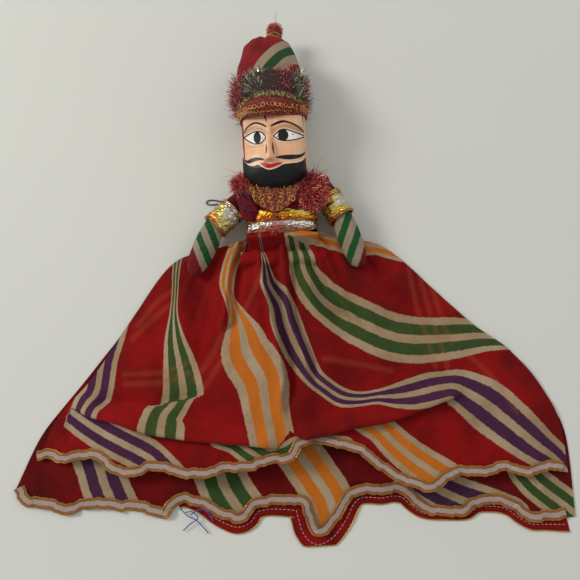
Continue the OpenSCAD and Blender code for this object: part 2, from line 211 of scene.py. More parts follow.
def tube(line, radius, sides=10, plies=0, turn=6.0, up=(0, 0, 1)):
    """A round cord along a line, laid up of plies that make one turn in a given length."""
    line = np.asarray(line, float)
    _, side, top = frames_along(line, up)
    run = run_along(line)
    a = np.linspace(0, 2 * np.pi, sides, endpoint=False)[None, :]
    lay = np.cos(plies * (a - 2 * np.pi * run[:, None] / turn)) if plies else 0 * a + 0 * run[:, None]
    r = np.broadcast_to(np.asarray(radius, float), (len(line),))[:, None] * (1 + 0.13 * lay)
    round_it = np.cos(a)[..., None] * side[:, None] + np.sin(a)[..., None] * top[:, None]
    rings = line[:, None] + r[..., None] * round_it
    points, faces = shell(rings)
    along = np.r_[np.repeat(run, sides), run[0], run[-1]]
    strand = np.r_[(lay + 0 * a).ravel(), 0, 0]
    return points, faces, {"along": along, "strand": strand}


def ribbon(line, outward, width, thick, wave=0.0, pitch=14.0, lift=0.0, seed=0):
    """A flat trim along a line, a little ruffled, with across from -1 to 1 and along in millimetres."""
    line = np.asarray(line, float)
    run = run_along(line)
    local = np.random.default_rng(seed)
    phase = local.uniform(0, 6.28, 4)
    rock = sum(np.sin(run * k / pitch * 6.28 + p) * w
               for k, p, w in zip((1, 0.61, 1.7, 2.9), phase, (0.5, 0.5, 0.35, 0.2)))
    across = np.r_[np.linspace(-1, 1, 9), np.linspace(1, -1, 4)[1:-1]]
    below = np.r_[np.zeros(9), np.ones(2)]
    w = np.asarray(width, float) / 2
    body = line[:, None] + outward[:, None] * (across * 1.0)[None, :, None] * np.reshape(w, (-1, 1, 1))
    body[..., 2] += lift - thick * below + 0.25 * thick * (1 - across ** 2)
    body[..., 2] += wave * (0.5 + 0.5 * across) * (rock[:, None] + 0.55)
    body += outward[:, None] * (0.45 * wave * rock)[:, None, None]
    points, faces = shell(body)
    n = len(across)
    return points, faces, {"across": np.r_[np.tile(across, len(line)), 0, 0],
                           "along": np.r_[np.repeat(run, n), run[0], run[-1]]}


# ---------- materials ----------

def paint(r, g, b):
    """A screen colour from 0 to 255 as the light it gives."""
    c = np.array([r, g, b]) / 255
    c = np.where(c <= 0.04045, c / 12.92, ((c + 0.055) / 1.055) ** 2.4)
    return (*[float(v) for v in c], 1.0)


class Wire:
    """A socket whose sums and products add Math nodes."""

    def __init__(self, stuff, socket):
        self.stuff, self.socket = stuff, socket

    def math(self, kind, *others):
        return self.stuff.node("Math", {"operation": kind}, dict(enumerate((self, *others))))

    def __add__(self, o):
        return self.math("ADD", o)

    def __radd__(self, o):
        return self.math("ADD", o)

    def __sub__(self, o):
        return self.math("SUBTRACT", o)

    def __rsub__(self, o):
        return self.stuff.node("Math", {"operation": "SUBTRACT"}, {0: o, 1: self})

    def __mul__(self, o):
        return self.math("MULTIPLY", o)

    def __rmul__(self, o):
        return self.math("MULTIPLY", o)

    def __abs__(self):
        return self.math("ABSOLUTE")

    def sin(self):
        return self.math("SINE")

    def wrap(self, o):
        return self.math("FLOORED_MODULO", o)


class Stuff:
    """One material, and the nodes that are added to it."""

    def __init__(self, name, **constants):
        self.mat = bpy.data.materials.new(name)
        self.mat.use_nodes = True
        self.tree = self.mat.node_tree
        self.shader = self.tree.nodes["Principled BSDF"]
        for key, value in constants.items():
            self.shader.inputs[key.replace("_", " ")].default_value = value

    def node(self, kind, settings=None, inputs=None, out=0):
        made = self.tree.nodes.new("ShaderNode" + kind)
        for key, value in (settings or {}).items():
            setattr(made, key, value)
        for key, value in (inputs or {}).items():
            self.feed(made.inputs[key], value)
        return Wire(self, made.outputs[out])

    def feed(self, socket, value):
        if isinstance(value, Wire):
            self.tree.links.new(value.socket, socket)
        else:
            socket.default_value = value

    def field(self, name):
        return self.node("Attribute", {"attribute_name": name}, out=2)

    def place(self, scale=(1, 1, 1), turn=(0, 0, 0)):
        where = self.node("TexCoord", out=3)
        return self.node("Mapping", None, {0: where, 2: turn, 3: scale})

    def noise(self, scale, detail=3.0, rough=0.55, where=None, bend=0.0):
        return self.node("TexNoise", None, {"Vector": where or self.place(), "Scale": scale, "Detail": detail,
                                            "Roughness": rough, "Distortion": bend})

    def cells(self, scale, where=None, feature="F1", out=0):
        return self.node("TexVoronoi", {"feature": feature},
                         {"Vector": where or self.place(), "Scale": scale}, out)

    def step(self, x, low, high, to_low=0.0, to_high=1.0):
        return self.node("MapRange", {"interpolation_type": "SMOOTHSTEP"},
                         {0: x, 1: low, 2: high, 3: to_low, 4: to_high})

    def mix(self, mask, a, b, how="MIX"):
        return self.node("Mix", {"data_type": "RGBA", "blend_type": how}, {0: mask, 6: a, 7: b}, 2)

    def weave(self, pitch, turn=0.0):
        """Threads over and under, from the place on the object: pitch in metres."""
        k = 2 * math.pi / pitch
        parts = self.node("SeparateXYZ", None, {0: self.place((k, k, k), (0, 0, turn))})
        second = Wire(self, parts.socket.node.outputs[1])
        third = Wire(self, parts.socket.node.outputs[2])
        return (parts + 0.5 * third).sin(), (second + 0.5 * third).sin()

    def bump(self, height, distance=0.0003, strength=1.0, under=None):
        inputs = {"Height": height, "Distance": distance, "Strength": strength}
        if under is not None:
            inputs["Normal"] = under
        return self.node("Bump", None, inputs)

    def done(self, colour=None, rough=None, normal=None, metal=None, coat=None):
        for key, value in (("Base Color", colour), ("Roughness", rough), ("Normal", normal),
                           ("Metallic", metal), ("Coat Weight", coat)):
            if value is not None:
                self.feed(self.shader.inputs[key], value)
        return self.mat


RED = paint(150, 12, 11)
RED_DARK = paint(104, 6, 6)
CREAM = paint(186, 166, 134)
GREEN = paint(26, 76, 30)
PURPLE = paint(58, 16, 66)
ORANGE = paint(206, 112, 22)
GOLD = paint(214, 164, 66)


# ---------- camera ----------

def add_camera():
    data = bpy.data.cameras.new("camera")
    data.angle = math.radians(50)
    data.clip_start = 0.01
    camera = bpy.data.objects.new("camera", data)
    bpy.context.scene.collection.objects.link(camera)
    ahead = Vector((0.0114, 0.2416, -0.9703)).normalized()
    top = Vector((0.0457, 0.9692, 0.2419)).normalized()
    side = ahead.cross(top).normalized()
    top = side.cross(ahead)
    turn = camera.matrix_world.to_3x3()
    turn.col[0], turn.col[1], turn.col[2] = side, top, -ahead
    camera.matrix_world = turn.to_4x4()
    camera.matrix_world.translation = Vector((-0.0020, -0.1553, 0.5288))
    bpy.context.scene.camera = camera


add_camera()


# ---------- control string ----------

STRING_D = 1.0
STRING_ROUTE = [
    [-3, 55, 6.4], [-4, 57, 4], [-7, 59, 1.8], [-12, 61, 0.9], [-20, 62.6, 0.7], [-29, 62.6, 0.7],
    [-36, 60, 0.7], [-42, 54.6, 0.7], [-48, 49.6, 0.7], [-54, 49.4, 0.7], [-61, 50.8, 0.7], [-65, 51, 0.7],
    [-67.4, 49.6, 0.7], [-67.2, 47.6, 0.7], [-65, 46.6, 0.7], [-61, 46.6, 0.7], [-54, 47, 0.7],
    [-48, 47.8, 0.7], [-42, 52.6, 0.7], [-36, 57.6, 0.7], [-29, 60, 0.7], [-20, 60, 0.7], [-12, 57.6, 0.7],
    [-6, 54.6, 0.7], [-1.4, 52.6, 0.7]]
COIL_MIDDLE = (7.4, 57.0)
COIL_LEVELS = (0.75, 1.9, 3.05, 4.2)
COIL_STEPS = (41, 40, 40, 40)   # points in each level, 16 to a turn, laid side by side
COIL_RADII = (7.4, 4.4)


def string_path():
    """From the neck knot round the shoulder loop and back, then wound into the coil under the head."""
    points = [list(p) for p in STRING_ROUTE]
    angle = math.radians(-129)
    for level, (z, steps) in enumerate(zip(COIL_LEVELS, COIL_STEPS)):
        inner, outer = COIL_RADII[1], COIL_RADII[0]
        if level % 2:
            a, b = inner, outer
        else:
            a, b = outer, inner
        after = COIL_LEVELS[min(level + 1, len(COIL_LEVELS) - 1)]
        for k in range(steps):
            t = k / (steps - 1)
            r = a + (b - a) * t
            rise = z + (after - z) * max(0.0, (t - 0.85) / 0.15) * 0.9
            points.append([COIL_MIDDLE[0] + r * math.cos(angle), COIL_MIDDLE[1] + r * math.sin(angle), rise])
            angle += 2 * math.pi / 16
    r = COIL_RADII[0] if len(COIL_LEVELS) % 2 == 0 else COIL_RADII[1]
    x, y = COIL_MIDDLE[0] + r * math.cos(angle), COIL_MIDDLE[1] + r * math.sin(angle)
    points += [[x, y, 4.5], [(x + 13) / 2, (y + 47.6) / 2, 4.9], [13, 47.6, 5.2]]
    return smooth_line(points, 0.7)


string_stuff = Stuff("string")
ply_lay_and_groove_shade = string_stuff.field("strand")
fray = string_stuff.noise(900, 4)
# The plies are painted lighter on their crests and darker in the grooves between them: painted highlight and
# painted shade.
string_mat = string_stuff.done(
    string_stuff.mix(string_stuff.step(ply_lay_and_groove_shade, -1, 1), paint(26, 26, 42), paint(86, 60, 78)),
    0.72 + 0.2 * fray, string_stuff.bump(ply_lay_and_groove_shade + fray, 0.00012))
string_line = string_path()
points, faces, fields = tube(string_line, STRING_D / 2, 8, 2, 3.2)
control_string = piece("control_cord", points, faces, string_mat, fields)


# ---------- skirt: two gathered panels of thin printed cloth ----------

LEFT_SIDE = [(-31, 2), (-58, 0), (-98, -10), (-136, -62), (-165, -105), (-194, -138), (-208, -170)]
RIGHT_SIDE = [(30, 2), (54, 4), (82, 0), (101, -13), (133, -47.5), (160, -75.5), (186.5, -97), (208.5, -126),
              (222, -158.5), (223, -200)]
FRONT_HEM = [
    (-208, -170), (-198, -169), (-187, -173), (-161, -171), (-143, -184), (-125, -186), (-111, -182),
    (-86, -189), (-65, -189), (-56, -186), (-33, -186), (-25, -183), (-3, -181), (10, -174), (46, -174),
    (63, -186), (81, -199), (104, -208), (113, -207), (129, -198), (157, -199), (165, -195), (189, -201),
    (205, -197), (223, -200)]
BACK_HEM = [
    (-225, -192), (-217, -205), (-200, -207), (-185, -213), (-163, -209), (-140, -212), (-124, -213),
    (-104, -220), (-94, -209), (-76, -213), (-59, -222), (-42, -226), (-30, -215), (-4, -214), (5, -216),
    (12, -237), (22, -238), (34, -228), (49, -210), (73, -210), (85, -209), (103, -225), (133, -229),
    (148, -222), (168, -223), (185, -235), (198, -236), (224, -234)]

# Printed bands: points with half the band's width as the third value
PURPLE_UPPER = [
    [(-150, -60, 14), (-152, -68, 14), (-158, -90, 14), (-161, -116, 14), (-168, -127, 13), (-172, -140, 13)],
    [(-20, 7, 0.6), (-18, -6, 1.4), (-16, -16, 3.2), (-14.5, -27, 5.8), (-13, -34, 8), (-4, -51, 11),
     (0, -69, 13), (8, -91, 12), (19, -113, 9), (29, -123, 8), (42, -132, 8), (56, -134, 6), (71, -133, 6),
     (86, -133, 10), (100, -132, 13), (116, -129, 14), (131, -127, 13), (142, -130, 17), (161, -143, 22),
     (180, -160, 21), (200, -178, 17), (215, -190, 13), (232, -214, 11)]]
GREEN_UPPER = [
    [(-92, 8, 5), (-94, -9, 4), (-95, -34, 3), (-96, -56, 4), (-95, -77, 9), (-91, -99, 14), (-88, -120, 17),
     (-90, -135, 18)],
    [(7, 16, 6), (9, 6, 8), (14, -8, 10), (18, -27, 13), (28, -45, 16), (42, -58, 18), (64, -72, 20),
     (88, -83, 21), (111, -87, 20), (141, -86, 18), (167, -85, 14), (190, -88, 10)]]
ORANGE_UPPER = [
    [(-37, 18, 8), (-38, 11, 8), (-41, -2, 7), (-47, -16, 6), (-50, -32, 6), (-48, -45, 4), (-47, -58, 2)],
    [(-47, -34, 1), (-46, -43, 2), (-41, -61, 9), (-37, -77, 17), (-34, -93, 22), (-23, -114, 22),
     (-20, -139, 19), (-16, -163, 18), (-13, -180, 18)],
    [(8, 12, 9), (15, 10, 10), (37, 5, 10), (58, -1, 10), (83, -1, 10), (104, -6, 10)]]
GREEN_ROLL = [[(-92, -122, 14), (-97, -131, 14), (-104, -140, 17), (-105, -149, 19), (-105, -168, 19)]]
PURPLE_LOWER = [
    [(-192, -122, 13), (-181, -133, 13), (-156, -150, 14), (-136, -161, 14), (-115, -173, 14),
     (-96, -192, 14)],
    [(142, -130, 17), (161, -143, 22), (180, -160, 21), (200, -178, 17), (215, -190, 13), (232, -214, 11)]]
GREEN_LOWER = [[(-58, -158, 10), (-46, -163, 10), (-33, -172, 11), (-20, -179, 11), (-6, -177, 11),
                (8, -170, 10), (26, -171, 10), (42, -171, 8)]]
ORANGE_LOWER = [[(52, -143, 12), (61, -151, 12), (72, -159, 12), (81, -169, 13), (96, -183, 14),
                 (120, -201, 16)]]

PURPLE_BACK = [[(-166, -160, 19), (-159, -176, 19), (-155, -188, 19), (-150, -200, 19), (-142, -216, 19)],
               [(96, -192, 17), (110, -204, 17), (129, -215, 17), (152, -224, 17), (172, -233, 17)]]
GREEN_BACK = [[(-67, -172, 21), (-61, -185, 21), (-57, -197, 21), (-51, -208, 21), (-40, -224, 21)],
              [(188, -196, 14), (195, -206, 14), (207, -217, 14), (226, -233, 14)]]
ORANGE_BACK = [[(2, -170, 19), (10, -182, 19), (19, -196, 19), (28, -212, 19), (34, -236, 19)]]

# The back panel's bands, faintly seen through the thin front
SHOW_THROUGH = [
    [(109, -24, 2.2), (111, -50, 2.2), (118, -88, 2.2), (122, -110, 2.2)],
    [(118, -26, 2.2), (121, -52, 2.2), (128, -88, 2.2), (132, -112, 2.2)],
    [(127, -34, 2.2), (130, -54, 2.2), (138, -90, 2.2)],
    [(-128, -62, 2.4), (-112, -44, 2.4), (-98, -34, 2.4)],
    [(-132, -74, 2.4), (-112, -56, 2.4), (-98, -46, 2.4)],
    [(-78, -112, 2.6), (-64, -92, 2.6), (-52, -70, 2.6)],
    [(-70, -118, 2.6), (-56, -98, 2.6), (-44, -78, 2.6)], [(-38, -60, 2.2), (-28, -42, 2.2), (-20, -26, 2.2)],
    [(-136, -112, 2.6), (-104, -112, 2.6), (-84, -106, 2.6)],
    [(-138, -104, 2.2), (-106, -104, 2.2), (-86, -98, 2.2)],
    [(30, -100, 2.4), (60, -106, 2.4), (84, -112, 2.4)],
    [(150, -100, 2.4), (170, -122, 2.4), (186, -150, 2.4)]]

LEFT_FOLD = [(-183, -128), (-163, -137), (-143, -143), (-119, -152), (-85, -159), (-56, -163), (-33, -166),
             (-3, -171)]
RIGHT_FOLD = [(-1, -156), (11, -163), (45, -157), (81, -152), (110, -143), (132, -136), (147, -133)]
ROLL_CREASE = [(-164, -125), (-125, -128), (-112, -131), (-87, -127), (-71, -125)]

# Creases that run down from the waist: line, depth, width on its left and right, in millimetres
CREASES = [
    ([(-18, 8), (-16, -12), (-13, -36), (-8, -63), (-3, -90), (0, -114), (-3, -132), (-1, -152)], 8.0, 3.2,
     12),
    ([(3, 7), (4, -14), (6, -48), (9, -69), (16, -91), (20, -110), (25, -128)], 7.0, 3.2, 11),
    ([(18, 4), (29, -24), (35, -42), (43, -56), (55, -74)], 6.0, 12, 3.2),
    ([(-32, 10), (-41, -13), (-46, -40), (-48, -61), (-55, -79)], 7.5, 2.6, 14),
    ([(87, -11), (89, -51), (93, -86)], 3.4, 12, 14),
    ([(-70, 0), (-74, -30), (-72, -70), (-66, -110)], 3.6, 9, 14),
    ([(60, 2), (78, -36), (118, -66), (160, -92)], 3.6, 10, 8)]


def print_field(bands, x, y):
    """How far across the nearest band a point is: 0 in the middle, 1 at the edge."""
    best = np.full(np.shape(x), 3.0)
    for band in bands:
        line = smooth_line(band, 4.0)
        _, where, near = beside(line, x, y)
        run = run_along(line[:, :2])
        half = np.interp(where, run / run[-1], line[:, 2])
        best = np.minimum(best, near / half)
    return best


FOLD_RUN = np.array([
    # along the cloth, place in plan, height
    (-15, -15, 0), (-9, -7.5, 4.0), (-5, -2.6, 7.4), (-2.5, 0.3, 7.4), (-1, 1.6, 6.2), (0.3, 1.8, 4.4),
    (1.6, 0.3, 2.6), (3.0, -3.6, 0.9), (4.5, -6.0, 0.2), (6, -5.0, -0.5), (9, 0.5, -0.4), (15, 15, 0)])


def fold(points, line):
    """Lays the cloth over itself along a line; also says which points are under the fold."""
    x, y = points[..., 0], points[..., 1]
    guide = smooth_line(line, 5.0)
    side, where, near = beside(guide, x, y)
    down = -side
    ends = ease(where, 0.0, 0.09) * ease(1 - where, 0.0, 0.12) * (near < np.abs(side) + 2)
    ahead = unit(guide[-1] - guide[0])
    under = (ahead[1], -ahead[0])
    shift = (np.interp(down, FOLD_RUN[:, 0], FOLD_RUN[:, 1]) - np.clip(down, -15, 15)) * ends
    points[..., 0] += under[0] * shift
    points[..., 1] += under[1] * shift
    points[..., 2] += np.interp(down, FOLD_RUN[:, 0], FOLD_RUN[:, 2]) * ends
    return (down > 1.0) & (ends > 0.02)


def panel_plan(rows, cols, left, right, hem, top):
    """A panel's plan between its top, its two sides and its hem."""
    u = np.linspace(0, 1, cols)[None, :, None]
    v = np.linspace(0, 1, rows)[:, None, None]

    def edge(line, n):
        fine = smooth_line(line, 0.8)
        t = np.linspace(0, 1, len(fine))
        return np.stack([np.interp(np.linspace(0, 1, n), t, fine[:, k]) for k in (0, 1)], 1)

    l, r = edge(left, rows)[:, None], edge(right, rows)[:, None]
    h, t = edge(hem, cols)[None], edge(top, cols)[None]
    corners = ((1 - u) * (1 - v) * l[0, 0] + u * (1 - v) * r[0, 0]
               + (1 - u) * v * l[-1, 0] + u * v * r[-1, 0])
    return (1 - u) * l + u * r + (1 - v) * t + v * h - corners, u[..., 0], v[..., 0]


def ripples(x, y, seed, size, waves=7):
    local = np.random.default_rng(seed)
    out = 0 * x
    for _ in range(waves):
        a = local.uniform(-0.6, 0.6)
        pitch = local.uniform(9, 34)
        out = out + size * local.uniform(0.4, 1) * np.sin(
            (x * math.cos(a) + y * math.sin(a)) * 6.28 / pitch + local.uniform(0, 6.28))
    return out


def front_panel():
    rows, cols = 215, 300
    top = [(-31, 4.5), (-15, 7), (0, 7.6), (15, 7), (30, 4.5)]
    plan, u, v = panel_plan(rows, cols, LEFT_SIDE, RIGHT_SIDE, FRONT_HEM, top)
    x, y = plan[..., 0], plan[..., 1]
    across = 2 * u - 1 + 0 * v
    arch = 1 - np.abs(across) ** (2.4 + 4.6 * (1 - ease(v, 0, 0.1)))
    height = np.interp(v + 0 * u, (0, 0.03, 0.07, 0.16, 0.3, 0.55, 0.8, 1),
                       (31.4, 30, 26.5, 19.5, 15, 12.5, 12.5, 13.5))
    z = 2.4 + arch * height
    z += ease(v, 0, 0.03) * np.exp(-v / 0.2) * 3.3 * np.sin(
        2 * np.pi * (13.5 * u + 0.35 * np.sin(9 * u + 1)) + 2.2 * v) * (arch ** 0.5)
    z += 0.9 * arch * np.exp(-v / 0.5) * np.sin(2 * np.pi * 23 * u + 3 * np.sin(5 * u))
    for line, depth, wide_left, wide_right in CREASES:
        side, where, near = beside(smooth_line(line, 4.0), x, y)
        wide = np.where(side > 0, wide_right, wide_left)
        ends = ease(1 - where, 0, 0.2) * (0.35 + 0.65 * ease(where, 0, 0.15))
        z -= 1.25 * depth * np.exp(-(near / wide) ** 2) * ends * (0.4 + 0.6 * arch)
        z += 0.45 * depth * np.exp(-((near - 1.5 * wide) / (0.9 * wide)) ** 2) * ends * arch
    side, where, near = beside(smooth_line(ROLL_CREASE, 4.0), x, y)
    crease_ends = ease(where, 0, 0.1) * ease(1 - where, 0, 0.1)
    z -= 3.4 * np.exp(-(near / np.where(side > 0, 7.0, 3.0)) ** 2) * crease_ends
    z += ripples(x, y, 5, 0.22) * (0.3 + 0.7 * v)
    z += 1.1 * ease(v, 0.86, 1) * np.sin(x / 7.5 + 2 * np.sin(x / 31)) * (0.4 + 0.6 * arch)
    # The cloth lies over the lower edge of the bodice and over its gathered casing
    z = np.where(np.abs(x) < 30, np.maximum(z, 33.0 - 16 * ease(-y, -3, 3) - 17 * ease(-y, 3, 5)), z)
    casing = 14 + np.sqrt(np.maximum(0, 6.6 ** 2 - (y + 11) ** 2))
    z = np.where((np.abs(x) < 37) & (np.abs(y + 11) < 6.6), np.maximum(z, casing), z)
    points = np.stack([x, y, z], -1)
    rolled = (side < 0) & (x > -172) & (x < -66) & (near < 60)
    low_a = fold(points, LEFT_FOLD)
    low_b = fold(points, RIGHT_FOLD)
    points[..., 2] = np.maximum(points[..., 2], 1.6)
    low = low_a | low_b
    x, y = points[..., 0], points[..., 1]
    purple = np.where(low, print_field(PURPLE_LOWER, x, y), print_field(PURPLE_UPPER, x, y))
    green = np.where(low, print_field(GREEN_LOWER, x, y),
                     np.where(rolled, print_field(GREEN_ROLL, x, y), print_field(GREEN_UPPER, x, y)))
    orange = np.where(low, print_field(ORANGE_LOWER, x, y), print_field(ORANGE_UPPER, x, y))
    return points, {"purple": purple, "green": green, "orange": orange,
                    "ghost": print_field(SHOW_THROUGH, x, y)}


def back_panel():
    rows, cols = 150, 220
    left = [(-31, 1), (-60, -6), (-104, -18), (-146, -74), (-176, -112), (-206, -150), (-225, -192)]
    right = [(30, 1), (56, -4), (96, -16), (136, -54), (166, -86), (192, -112), (214, -140), (226, -170),
             (224, -234)]
    top = [(-31, 1), (0, 2), (30, 1)]
    plan, u, v = panel_plan(rows, cols, left, right, BACK_HEM, top)
    x, y = plan[..., 0], plan[..., 1]
    arch = 1 - np.abs(2 * u - 1) ** 3
    z = 0.55 + 0.9 * ease(v, 0.8, 1) * (0.5 + 0.5 * np.sin(x / 9 + 1.7 * np.sin(x / 23)))
    z = z + 2.2 * arch * np.exp(-((v - 0.12) / 0.12) ** 2) + 0 * u
    z = z + 0.25 * (1 + np.sin(x / 5 + y / 19)) * ease(v, 0.1, 0.4)
    points = np.stack([x, y, z], -1)
    return points, {"purple": print_field(PURPLE_BACK, x, y), "green": print_field(GREEN_BACK, x, y),
                    "orange": print_field(ORANGE_BACK, x, y), "ghost": 0 * x + 3}


def skirt_stuff(name, ground, dark):
    """Thin crinkled cloth with printed bands: cream, colour, cream, colour, cream."""
    s = Stuff(name, Sheen_Weight=0.03, Sheen_Roughness=0.5, Specular_IOR_Level=0.12)
    warp, weft = s.weave(0.00085, 0.2)
    crinkle = s.noise(420, 5, 0.62)
    cloud = s.noise(26, 4)
    colour = s.mix(s.step(cloud, 0.3, 0.72), ground, dark)
    soft = 0.025
    for field, dye in (("green", GREEN), ("purple", PURPLE), ("orange", ORANGE)):
        q = s.field(field) + 0.09 * (s.noise(300, 2) - 0.5)
        band = s.step(q, 1 + soft, 1 - soft)
        tint = s.step(q, 0.18 - soft, 0.18 + soft) * s.step(q, 0.66 + soft, 0.66 - soft)
        faded = s.mix(s.step(cloud, 0.25, 0.75), CREAM, paint(160, 132, 98))
        inked = s.mix(0.14 * crinkle, dye, paint(150, 126, 92))
        colour = s.mix(band, colour, s.mix(tint, faded, inked))
    thread = 0.5 + 0.25 * (warp + weft)
    ghost = s.step(s.field("ghost"), 1.7, 0.3, 0, 0.13)
    colour = s.mix(ghost, colour, paint(196, 104, 66))
    colour = s.mix(0.22 * thread + 0.2 * crinkle, colour, s.mix(0.5, colour, dark))
    relief = 0.35 * thread + 0.9 * crinkle + 1.6 * s.noise(120, 4, 0.6)
    return s.done(colour, 0.78 + 0.15 * thread, s.bump(relief, 0.00075))


skirt_front_mat = skirt_stuff("skirt cloth", RED, RED_DARK)
skirt_back_mat = skirt_stuff("skirt back cloth", paint(122, 10, 10), paint(78, 5, 6))

front_points, front_fields = front_panel()
points, faces = sheet_grid(front_points)
skirt_front = piece("skirt_front_cloth", points, faces, skirt_front_mat, front_fields)
back_points, back_fields = back_panel()
points, faces = sheet_grid(back_points)
skirt_back = piece("skirt_back_cloth", points, faces, skirt_back_mat, back_fields)

for obj, node in ((skirt_front, "skirt_front"), (skirt_back, "skirt_back")):
    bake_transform(obj)
    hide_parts(node)


# ---------- hem ribbons ----------

def trim_stuff(name):
    """Woven ribbon: gold edges, orange, brown-pink and a silver middle."""
    s = Stuff(name, Specular_IOR_Level=0.5)
    a = abs(s.field("across"))
    along = s.field("along")
    glint = s.cells(1500)
    cross = (along * (2 * math.pi / 0.55)).sin()
    tone = s.mix(s.step(a, 0.40, 0.46), paint(222, 204, 190), paint(176, 100, 78))
    tone = s.mix(s.step(a, 0.56, 0.62), tone, paint(214, 132, 44))
    tone = s.mix(s.step(a, 0.86, 0.92), tone, paint(236, 188, 92))
    shine = s.step(glint, 0.25, 0.5)
    tone = s.mix(0.24 * shine, tone, paint(120, 62, 40))
    metal = 0.75 * s.step(glint, 0.55, 0.2)
    return s.done(tone, 0.34 + 0.3 * shine, s.bump(cross + 1.4 * glint, 0.0003), metal)


trim_mat = trim_stuff("hem ribbon")
gold_thread = Stuff("gold thread", Metallic=0.85)
gold_mat = gold_thread.done(gold_thread.mix(gold_thread.noise(700), GOLD, paint(150, 96, 30)), 0.3,
                            gold_thread.bump(gold_thread.noise(2200), 0.0001))


def hem_line(panel, step=1.2):
    """The panel's last row as an even line, and the plan direction out of the cloth."""
    line = smooth_line(panel[-1, ::4], step)
    ahead = unit(np.gradient(line, axis=0))
    out = np.stack([ahead[:, 1], -ahead[:, 0], 0 * ahead[:, 0]], 1)
    out[out[:, 1] > 0] *= -1
    kernel = np.ones(7) / 7
    out = np.stack([np.convolve(np.pad(out[:, k], 3, "edge"), kernel, "valid") for k in range(3)], 1)
    return line, unit(out)


def hem_ribbon(name, panel, node, width, lift, seed):
    line, out = hem_line(panel)
    line = line - out * (width * 0.42)
    points, faces, fields = ribbon(line, out, width, 0.5, 1.3, 13.0, lift, seed)
    points[:, 2] = np.maximum(points[:, 2], 0.15)
    finish_piece(piece(name, points, faces, trim_mat, fields), "skirt", "gold_braid", node)
    return line, out


front_hem = hem_ribbon("front_hem_ribbon", front_points, "front_hem_trim", 8.2, 1.0, 3)
back_hem = hem_ribbon("back_hem_ribbon", back_points, "back_hem_trim", 8.6, 0.9, 8)


# ---------- facing under the back hem and its edge cord ----------------------

def facing():
    """A narrow red strip under the back hem, just showing beyond it."""
    line, out = back_hem
    keep = (line[:, 0] > -96) & (line[:, 0] < 226)
    line, out = line[keep], out[keep]
    beyond = 5.0 + 3.2 * np.sin(line[:, 0] / 37 + 1.2) + 1.2 * np.sin(line[:, 0] / 11)
    t = np.linspace(0, 1, 12)[None, :, None]
    top = line[:, None] + out[:, None] * (t * (12 + beyond[:, None, None]) - 6)
    top[..., 1] = np.maximum(top[..., 1], -246.5)
    top[..., 2] = 0.35 + 0.5 * np.sin(line[:, 0] / 8)[:, None] ** 2 * t[..., 0]
    low = top[:, ::-1].copy()
    low[..., 2] = 0.1
    return np.concatenate([top, low], 1), top


facing_rings, facing_top = facing()
points, faces = shell(facing_rings)
facing_mat = skirt_stuff("facing cloth", paint(150, 16, 18), paint(104, 8, 12))
hem_facing = piece("back_hem_facing", points, faces, facing_mat,
                   {k: np.full(len(points), 3.0) for k in ("green", "purple", "orange", "ghost")})
finish_piece(hem_facing, "skirt", "skirt_cloth")
facing_edge = facing_top[:, -1] + [0, 0, 0.25]
points, faces, fields = tube(facing_edge + [0, 0, 0.1], 0.5, 6, 2, 3.0)
edge_cord = piece("back_hem_edge_cord", points, faces, gold_mat, fields)
finish_piece(edge_cord, "skirt", "gold_braid")


# ---------- head ----------

HEAD_Z = 31.0
CHIN_Y = 44.5
HEAD_TURN = math.radians(-12)    # the head looks a little towards the left shoulder
HEAD_SHIFT = 3.5                 # and sits a little to that side
PAINT_Z = 50.0                   # the level at which the face's brush lines are set out
PAINT_EYE = (-2.0, -167.8, 528.8)  # the point from which they are thrown onto the carved face
BROW_LEFT = [(-28.5, 90.5, 0.5), (-26.5, 94.5, 0.9), (-23, 97.5, 1.2), (-19.5, 99, 1.3), (-16, 98.5, 1.3),
             (-12.5, 97, 1.3), (-10, 95, 0.9)]
BROW_RIGHT = [(-6, 95.5, 0.9), (-2, 97.5, 1.9), (2, 99, 2.1), (5, 99.5, 1.8), (9, 98.5, 1.3),
              (13.5, 96.5, 1.2), (18, 93, 1.0), (21, 89.5, 0.9), (23, 87.5, 0.5)]
EYE_LEFT = [(-29, 85.5), (-26, 87.5), (-22, 90), (-18, 91), (-14, 90), (-11.5, 87), (-11, 84), (-12.5, 82.5),
            (-14.5, 80.5), (-18, 79.5), (-21.5, 80), (-25.5, 82.5)]
EYE_RIGHT = [(-4, 86), (-1, 89), (2, 91.5), (5.5, 92), (9, 91), (13.5, 89), (18, 87), (22, 84.5), (18.5, 83),
             (14, 82), (9, 81.5), (4.5, 81.5), (0, 83)]
PUPILS = [(-17.8, 85.2, 3.1, 5.5), (4.2, 86.6, 4.5, 5.3)]        # middle, half width, half height
CORNER_DOTS = [(-13.5, 84.5, 0.7, 0.6), (12.5, 87, 0.9, 0.6), (-1, 85.6, 0.6, 0.8)]
NOSE_LINES = [[(-10.6, 79, 0.7), (-10.4, 74.5, 1.0), (-11, 70.5, 0.6)],
              [(-5, 80.5, 0.7), (-4.8, 75, 1.3), (-4.3, 69.5, 0.7)]]
MOUSTACHE = [[(-12, 64.5, 0.3), (-15.5, 65.5, 1.7), (-19.5, 65.5, 2.8), (-23.5, 64.3, 3.2),
              (-26.5, 63.3, 2.2), (-29, 65.5, 0.5)],
             [(-3, 66.5, 0.4), (1.5, 66.5, 2.6), (7, 66.2, 4.0), (12, 66.2, 3.8), (16.5, 66.6, 2.8),
              (20, 68, 1.7), (23, 71, 0.5)]]
BEARD = [(-31.5, 73), (-30, 67), (-28.5, 63), (-25.5, 60), (-21.5, 59.5), (-18, 60.5), (-15, 58.5),
         (-12, 56.5), (-9, 55.5), (-5, 56), (-1.5, 57.5), (3.5, 60), (9.5, 60.5), (15, 61), (19.5, 62.5),
         (22, 66), (23.3, 72.5), (23.8, 79), (36, 80), (36, 36), (-7, 34), (-42, 38), (-40, 72)]
